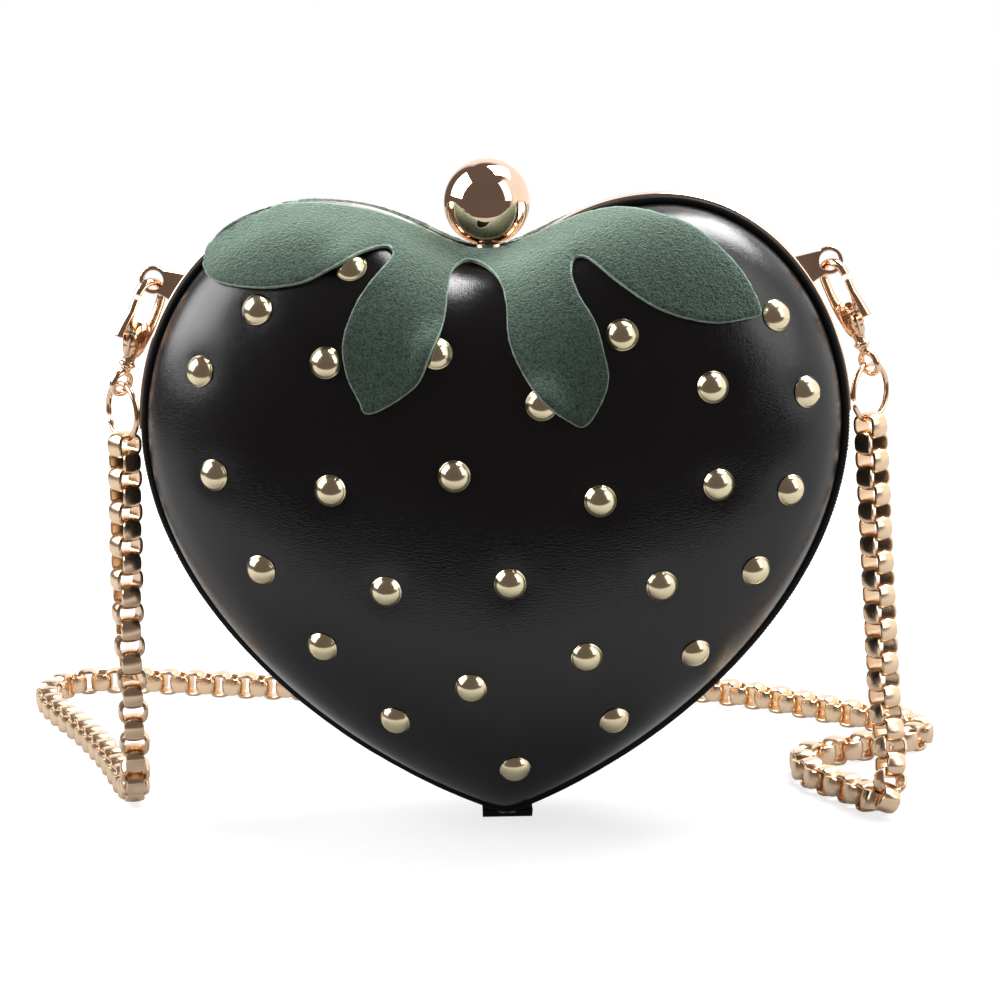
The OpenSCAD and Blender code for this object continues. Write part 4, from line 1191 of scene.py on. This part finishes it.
class PURSE_OT_studs(bpy.types.Operator):
    """Builds the domed studs, each square to the leather"""

    bl_idname = "purse.studs"
    bl_label = "Studs"

    def execute(self, context):
        heart, s = Heart(), sizes()
        shape, faces = lathe(stud_profile(s.stud_width / MM / 2, s.stud_height / MM), 40)
        sink = 0.62 * s.stud_sink / MM
        points, all_faces = [], []
        for k, (seat, normal) in enumerate(zip(*heart.stud_seats())):
            points.append(seat - normal * sink + shape @ facing(normal))
            all_faces += [tuple(k * len(shape) + v for v in f) for f in faces]
        for half, made in on_both_halves("domed_studs", np.concatenate(points), all_faces, finish("stud")):
            by_angle(made, 60)
            dressed(made, half, "stud_gold", f"{half}_studs")
        return {"FINISHED"}


def felt_outline(heart):
    """The felt's cut line, in even steps."""
    line = heart.place(FELT_TOP + FELT_LEAVES)
    made = catmull(np.concatenate([line[-1:], line, line[:2]]), 10)[10:-10]
    return evenly(made, round(run_length(made) / 0.8))[:-1]


def felt_depth(heart, x, z):
    """Depth of the felt's underside: taut from the rim to the dome, then on the dome and over the studs it hides."""
    line = heart.outline
    foot = heart.rim_depth + 0.25
    reach = np.linspace(1, 15, 57)
    spots = line[:, None] + reach[None, :, None] * (inset(line, 1) - line)[:, None]
    slopes = (heart.depth(spots[..., 0], spots[..., 1]) - foot) / reach
    taut = np.stack([slopes.max(axis=1), reach[slopes.argmax(axis=1)]], axis=1)
    for _ in range(12):
        taut = (np.roll(taut, 1, axis=0) + 2 * taut + np.roll(taut, -1, axis=0)) / 4
    _, pick, share, _ = closest(line, np.stack([x, z], axis=1))
    steep, meets = (taut[pick] + share[:, None] * (np.roll(taut, -1, axis=0)[pick] - taut[pick])).T
    inside = heart.inside(x, z)
    dome = heart.depth(x, z)
    over = foot + np.where(inside > 0, steep, 0.5) * inside
    under = dome + np.maximum(over - dome, 0) * smoothstep(meets + 1.5, meets - 0.5, inside)
    rise, wide = 2.75, 5.4  # of the bulge over a stud
    for stud_x, stud_z in heart.place(STUDS)[list(STUDS_UNDER_FELT)]:
        away = np.hypot(x - stud_x, z - stud_z)
        under = under + rise * np.exp(-((away / wide) ** 2.6))
    return under


class PURSE_OT_felt(bpy.types.Operator):
    """Lays the cut felt with its four leaves over each dome, the piping and the studs under it"""

    bl_idname = "purse.felt"
    bl_label = "Felt leaves"

    def flat_mesh(self, edge):
        """Triangles that fill the cut line, with an even spread of points inside it."""
        step = 1.3
        low, high = edge.min(axis=0), edge.max(axis=0)
        inner = np.array([
            (x, z)
            for j, z in enumerate(np.arange(low[1], high[1], step * 0.866))
            for x in np.arange(low[0] + (j % 2) * step / 2, high[0], step)
        ])
        x, z = inner.T
        crossings = np.zeros(len(inner), int)
        for a, b in zip(edge, np.roll(edge, -1, axis=0)):
            if abs(b[1] - a[1]) > 1e-12:
                spans = (a[1] > z) != (b[1] > z)
                crossings += spans & (x < a[0] + (z - a[1]) * (b[0] - a[0]) / (b[1] - a[1]))
        inner = inner[(crossings % 2 == 1) & (closest(edge, inner)[0] > 0.95)]
        flat = [Vector(p) for p in np.concatenate([edge, inset(edge, EDGE_HIGHLIGHT_WIDTH), inner])]
        count = len(edge)
        loops = [(base + i, base + (i + 1) % count) for base in (0, count) for i in range(count)]
        made = delaunay_2d_cdt(flat, loops, [], 1, 1e-5)
        return np.array([tuple(v) for v in made[0]]), made[2]

    def layers(self, heart, points, nearest, rim_points):
        """The felt's two faces in space: lifted a little at its edges, cut ragged, and clear of the pressed ball."""
        s = sizes()
        x, z = points.T
        under = felt_depth(heart, x, z)
        normals = surface_normal(lambda a, b: felt_depth(heart, a, b), x, z, 0.08)
        lift = 0.12 + 0.35 * np.exp(-((nearest / 2.2) ** 2)) * smoothstep(0.93, 0.80, (z - TIP_Z) / heart.height)
        bottom = np.stack([x, under, z], axis=1) + normals * lift[:, None]
        round_off = 0.28 * np.exp(-((nearest / 0.45) ** 2))
        top = bottom + normals * (s.felt_thickness / MM - round_off)[:, None]
        ragged = np.zeros((len(points), 3))
        ragged[rim_points] = np.random.default_rng(3).normal(0, 0.045, (len(rim_points), 3))
        both = np.concatenate([top + ragged, bottom + 0.5 * ragged])
        reach = s.ball_width / MM / 2 + 0.2
        pressed = reach**2 - both[:, 0] ** 2 - (both[:, 2] - BALL_Z + BALL_TRAVEL) ** 2
        lack = np.sqrt(np.maximum(pressed, 0)) - both[:, 1]
        both[:, 1] += np.tile(np.maximum(lack.reshape(2, -1).max(axis=0), 0), 2)
        return both

    def execute(self, context):
        heart = Heart()
        edge = felt_outline(heart)
        points, tops = self.flat_mesh(edge)
        total = len(points)
        nearest = closest(edge, points)[0]
        steps = dict.fromkeys(step for f in tops for step in zip(f, (*f[1:], f[0])))
        rim = [(a, b) for a, b in steps if (b, a) not in steps]
        both = self.layers(heart, points, nearest, sorted({a for a, _ in rim}))
        bottoms = [tuple(total + v for v in reversed(f)) for f in tops]
        walls = [(b, a, total + a, total + b) for a, b in rim]
        # Faces in the band along the edge, and the walls, take the felt edge finish, a painted highlight
        cut = [int(all(nearest[v] < EDGE_HIGHLIGHT_WIDTH + 0.01 for v in f)) for f in tops]
        places = cut + [0] * len(bottoms) + [1] * len(walls)
        finishes = [finish("felt"), finish("felt_edge")]
        for half, made in on_both_halves("felt_leaves", both, [*tops, *bottoms, *walls], finishes, places):
            by_angle(made, 50)
            dressed(made, half, "leaf_felt", f"{half}_leaves")
        return {"FINISHED"}


# ---------------------------------------------------------------- ball clasp
class PURSE_OT_ball(bpy.types.Operator):
    """Turns the ball with its small neck, and winds the spring inside it"""

    bl_idname = "purse.ball"
    bl_label = "Ball clasp"

    HOLLOW = 3.6  # radius of the hole under the ball

    def ball_profile(self, radius):
        """(distance from the axis, height) of the ball, its turned-in foot and the hollow above it."""
        hole = self.HOLLOW
        opening = math.asin(hole / radius)
        low = -radius * math.cos(opening)
        angles = np.linspace(0, math.pi - opening - 0.05, 72)
        profile = [(radius * math.sin(a), radius * math.cos(a)) for a in angles]
        return profile + [(hole + 0.25, low - 0.02), (hole, low + 0.15), (hole, low + 3.4 + BALL_TRAVEL)]

    def spring_path(self, wire):
        turns, radius, foot, height = 3, 2.45, 150.298, 3.7
        angle = np.linspace(0, 2 * np.pi * turns, turns * 36 + 1)
        rise = foot + wire + (height - 2 * wire) * angle / angle[-1]
        return np.stack([radius * np.cos(angle), radius * np.sin(angle), rise], axis=1)

    def execute(self, context):
        points, faces = lathe(self.ball_profile(sizes().ball_width / MM / 2), 112)
        ball = outward(add_mesh("Ball_polished", points + [0, 0, BALL_Z], faces, finish("ball")))
        by_angle(ball, 50)
        dressed(ball, "ball", "ball_gold", "ball")
        wire = 0.25
        spring = tube_piece("Ball_coil_spring", self.spring_path(wire), wire, 10, finish("steel"))
        dressed(spring, "back", "steel", "ball_spring")
        return {"FINISHED"}


# ---------------------------------------------------------------- lugs, clasps and rings
def outline_solid(name, loops, thickness, ease, place, material):
    """A flat outline with holes, given thickness and rounded edges. place turns its X, Y, Z to the row frame."""
    data = bpy.data.curves.new(name, "CURVE")
    data.dimensions, data.fill_mode, data.bevel_resolution = "2D", "BOTH", 3
    data.extrude, data.bevel_depth, data.offset = (thickness / 2 - ease) * MM, ease * MM, -ease * MM
    for loop in loops:
        spline = data.splines.new("POLY")
        spline.points.add(len(loop) - 1)
        spline.points.foreach_set("co", [v for x, y in loop for v in (x * MM, y * MM, 0, 1)])
        spline.use_cyclic_u = True
    curve = linked(name, data)
    bpy.context.view_layer.update()
    mesh = bpy.data.meshes.new_from_object(curve.evaluated_get(bpy.context.evaluated_depsgraph_get()))
    bpy.data.objects.remove(curve)
    bpy.data.curves.remove(data)
    mesh.transform(place)
    mesh.materials.clear()
    mesh.materials.append(material)
    made = outward(linked(name, mesh), weld=1e-6)
    smoothed(mesh)
    return by_angle(made, 35)


def clasp_axes():
    """Turns clasp-plane points (thickness, across, along) to the row frame, right side."""
    lean, turn = math.radians(CLASP_LEAN), math.radians(CLASP_TURN)
    spin = np.array([[math.cos(turn), -math.sin(turn), 0], [math.sin(turn), math.cos(turn), 0], [0, 0, 1]])
    tilt = np.array([[math.cos(lean), 0, -math.sin(lean)], [0, 1, 0], [math.sin(lean), 0, math.cos(lean)]])
    return tilt @ spin


def from_clasp(points):
    return np.array(HOOK) + np.asarray(points, float) @ clasp_axes().T


def fused(name, parts, voxel, material):
    """Joins closed parts into one cast body and softens it."""
    points, faces, base = [], [], 0
    for p, f in parts:
        points.append(p)
        faces += [tuple(base + v for v in face) for face in f]
        base += len(p)
    piece = outward(add_mesh(name, np.concatenate(points), faces, material))
    cast = ("REMESH", {"mode": "VOXEL", "voxel_size": voxel * MM})
    return modified(piece, cast, ("SMOOTH", {"factor": 0.5, "iterations": 6}))


def to_side(piece, side):
    """Moves a piece drawn in the clasp's plane to its place, and mirrors it for the left."""
    co = np.array([v.co for v in piece.data.vertices]) / MM
    placed = flipped(from_clasp(co), side) * MM
    piece.data.vertices.foreach_set("co", placed.astype(np.float32).ravel())
    if side < 0:
        piece.data.flip_normals()
    smoothed(piece.data)
    return piece


def plate(line, half_thick):
    """A flat cutter in the clasp's plane, from its outline of (across, along)."""
    n = len(line)
    points = [(x, a, b) for x in (-half_thick, half_thick) for a, b in line]
    faces = [tuple(range(n)), tuple(range(2 * n - 1, n - 1, -1))]
    faces += [(i, (i + 1) % n, n + (i + 1) % n, n + i) for i in range(n)]
    return outward(add_mesh("Cutter", points, faces, []))


def round_part(centre, radii, steps=14):
    """A closed ellipsoid as a part of a cast body."""
    profile = [(math.sin(a), math.cos(a)) for a in np.linspace(0, math.pi - 0.05, steps)]
    points, faces = lathe(profile, 2 * steps)
    return np.array(centre) + points * np.array(radii), faces


class PURSE_OT_lugs(bpy.types.Operator):
    """Builds the two lugs that stand out from the rim"""

    bl_idname = "purse.lugs"
    bl_label = "Lugs"

    def execute(self, context):
        heart = Heart()
        centre, radius, hole = np.array(LUG), 3.6, 2.5
        roots = []
        for root, arm in zip(heart.place([(0.84, 0.83), (0.76, 0.88)]), (-3.0, 3.0)):
            spots = root + np.linspace(0, 1, 400)[:, None] * (centre + [0, arm] - root)
            meets = spots[np.argmax(np.linalg.norm(spots - centre, axis=1) <= radius)]
            roots.append((root + 0.30 * (meets - root), math.atan2(*(meets - centre)[::-1])))
        (first, start), (last, stop) = roots
        stop += 2 * math.pi * (stop < start)

        def round_line(radius, angles):
            return centre + radius * np.stack([np.cos(angles), np.sin(angles)], axis=1)

        loop = [first, *round_line(radius, np.linspace(start, stop, 60)), last]
        ring = round_line(hole, np.linspace(0, 2 * math.pi, 64, endpoint=False))
        for name, side in SIDES:
            place = Matrix(((side, 0, 0, 0), (0, 0, 1, 1.6 * MM), (0, 1, 0, 0), (0, 0, 0, 1)))
            made = outline_solid(f"{name}_rim_lug", [loop, ring], 2.4, 0.35, place, finish("fitting"))
            dressed(made, "back", "fitting_gold", f"{name}_lug")
        return {"FINISHED"}


class PURSE_OT_clasps(bpy.types.Operator):
    """Casts the two snap clasps with their hooks, bodies, swivel necks and sprung gates"""

    bl_idname = "purse.clasps"
    bl_label = "Snap clasps"

    # The whole-width gap beside the hook's opening, where the gate lies
    WINDOW = ((-7.2, -11.7), (-7.2, -4.72), (-2.4, -4.72), (-2.0, -11.0))

    def eye(self, middle, wire, low):
        """The ring at the tail, with flattened wire."""
        turn = np.linspace(0, 2 * np.pi, 40, endpoint=False)
        outer = np.stack([0 * turn, np.cos(turn), np.sin(turn)], axis=1)
        points = [
            (0, 0, low) + middle * out + wire * (c * out + np.array([1.28 * q, 0, 0]))
            for out in outer for c, q in ring_of(14)
        ]
        return np.array(points), band(len(turn), 14, closed_rows=True)

    def body_parts(self):
        turn = np.linspace(math.radians(176), math.radians(8), 20)
        hook = [(0, 4.4 * math.cos(a), -4.4 + 4.4 * math.sin(a)) for a in turn]
        hook += [(0, 4.42, -6.0), (0, 4.35, -8.5), (0, 4.0, -11.0), (0, 3.2, -14.0), (0, 1.8, -17.5)]
        hook = evenly(np.array(hook), 60)
        share = np.linspace(0, 1, len(hook))
        wide = 1.0 + 0.05 * share + 0.45 * smoothstep(0.6, 1.0, share)
        neck = [(0, 0, -19.0), (0, 0, -21.6), (0, 0, -23.0), (0, 0, -24.6), (0, 0, -25.6)]
        return [
            tube_part(hook, 1.0, 18, side=(1, 0, 0), wide=1.2 * wide, tall=wide),
            round_part((0, 0.35, -15.9), (1.95, 4.1, 5.6)),
            round_part((0, -0.9, -15.3), (1.9, 3.2, 3.7)),
            tube_part(neck, (1.7, 1.6, 1.5, 1.3, 1.0), 18),
            round_part((0, 0, -22.6), (2.1, 2.3, 1.2)),
            self.eye(2.92, 0.78, -27.8),
        ]

    def gate_parts(self):
        arm = catmull([(0, -2.6, -14.0), (0, -3.9, -12.2), (0, -4.45, -10.2), (0, -4.5, -7.6), (0, -4.45, -5.25)], 6)
        lever = catmull([(0, -4.6, -8.6), (0, -5.3, -10.8), (0, -5.8, -13.0), (0, -6.2, -15.2), (0, -6.25, -15.8)], 5)
        thick = np.linspace(0.8, 1.2, len(lever))
        thick[-5:] *= (0.97, 0.9, 0.78, 0.6, 0.3)
        return [
            tube_part(arm, 0.92, 16, side=(1, 0, 0), wide=1.1, tall=np.linspace(1.15, 0.85, len(arm))),
            round_part((0, -2.7, -13.9), (1.02, 1.6, 1.6)),
            tube_part(lever, thick, 16, side=(1, 0, 0), wide=1.3, tall=0.9),
        ]

    def execute(self, context):
        u, v = GATE_PIVOT
        # What the gate's root needs of the body, from just below its pivot up into the opening
        slot = [(u - 4.2, v - 1.6), (u - 4.2, -9.2), (1.0, -9.2), (0.9, -11.8), (0.1, -14.0)]
        slot += [(u + 1.7, v - 0.9), (u, v - 1.9)]
        for name, side in SIDES:
            body = fused(f"{name}_clasp_body", self.body_parts(), 0.17, finish("fitting"))
            carve(body, plate(slot, 1.16), plate(self.WINDOW, 2.6))
            by_angle(to_side(body, side), 40)
            body.data.materials.clear()
            body.data.materials.append(finish("fitting"))
            dressed(body, f"{name}_clasp", "fitting_gold", f"{name}_clasp")
            gate = to_side(fused(f"{name}_clasp_gate", self.gate_parts(), 0.14, finish("fitting")), side)
            dressed(gate, f"{name}_gate", "fitting_gold", f"{name}_gate")
            pin = tube_piece(
                f"{name}_clasp_pin", [(x, u, v) for x in (-1.72, -1.5, 1.5, 1.72)],
                (0.45, 0.7, 0.7, 0.45), 20, finish("steel"),
            )
            by_angle(to_side(pin, side), 35)
            dressed(pin, f"{name}_clasp", "steel", f"{name}_gate_pin")
        return {"FINISHED"}


class PURSE_OT_rings(bpy.types.Operator):
    """Bends the two open rings between the clasps and the chain"""

    bl_idname = "purse.rings"
    bl_label = "Rings"

    def execute(self, context):
        s = sizes()
        radius, wire, turn = s.ring_radius / MM, s.ring_wire / MM, math.radians(RING_TURN)
        for name, side in SIDES:
            gap = 196 if side > 0 else 344
            angles = np.radians(np.linspace(gap + 3.5, gap + 356.5, 120))
            level, up = np.cos(angles), np.sin(angles)
            path = np.stack([level * math.cos(turn), level * math.sin(turn), up], axis=1) * radius
            ends = np.full(len(path), wire)
            ends[[0, -1]] *= 0.55
            ends[[1, -2]] *= 0.93
            ring = tube_piece(f"{name}_open_ring", flipped(path + RING_CENTRE, side), ends, 16, finish("fitting"))
            by_angle(ring, 50)
            dressed(ring, f"{name}_ring", "ring_gold", f"{name}_ring")
        return {"FINISHED"}


class PURSE_OT_hardware(bpy.types.Operator):
    """Gives the shell, the hinge and the latch their finishes"""

    bl_idname = "purse.hardware"
    bl_label = "Shell, hinge and latch"

    def execute(self, context):
        wanted = {
            "shell": ("back_shell", "front_shell"),
            "hinge": (
                "hinge_leaf_back", "hinge_leaf_front", "hinge_pin", "hinge_rivets_back", "hinge_rivets_front",
            ),
            "steel": (
                "clasp_bridge", "clasp_screws", "catch_strip", "catch_rivets", "ball_stem", "stem_clip",
                "latch_bar", "latch_nut",
            ),
        }
        for name, nodes in wanted.items():
            for node in nodes:
                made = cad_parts[node]
                for slot in made.material_slots:
                    slot.link = "DATA"
                    slot.material = finish(name)
                if not made.material_slots:
                    made.data.materials.append(finish(name))
        return {"FINISHED"}


class PURSE_PT_panel(bpy.types.Panel):
    """Lists the purse's pieces in the sidebar"""

    bl_idname = "PURSE_PT_panel"
    bl_label = "Heart purse"
    bl_space_type = "VIEW_3D"
    bl_region_type = "UI"
    bl_category = "Purse"

    def draw(self, context):
        for operator in OPERATORS:
            self.layout.operator(operator.bl_idname)
        for owner in (context.scene.purse_sizes, context.scene.purse_colours):
            box = self.layout.box()
            for name in owner.__annotations__:
                box.prop(owner, name)


OPERATORS = (
    PURSE_OT_camera, PURSE_OT_chain, PURSE_OT_leather, PURSE_OT_piping, PURSE_OT_rim, PURSE_OT_tape,
    PURSE_OT_lining, PURSE_OT_studs, PURSE_OT_felt, PURSE_OT_ball, PURSE_OT_lugs, PURSE_OT_clasps,
    PURSE_OT_rings, PURSE_OT_hardware, PURSE_OT_stage,
)
CLASSES = (PurseSizes, PurseColours, *OPERATORS, PURSE_PT_panel)


def register():
    for kind in CLASSES:
        bpy.utils.register_class(kind)
    bpy.types.Scene.purse_sizes = PointerProperty(type=PurseSizes)
    bpy.types.Scene.purse_colours = PointerProperty(type=PurseColours)


def unregister():
    del bpy.types.Scene.purse_colours
    del bpy.types.Scene.purse_sizes
    for kind in reversed(CLASSES):
        bpy.utils.unregister_class(kind)


def main():
    register()
    for operator in OPERATORS:
        group_name, call = operator.bl_idname.split(".")
        getattr(getattr(bpy.ops, group_name), call)()


if __name__ == "__main__":
    main()
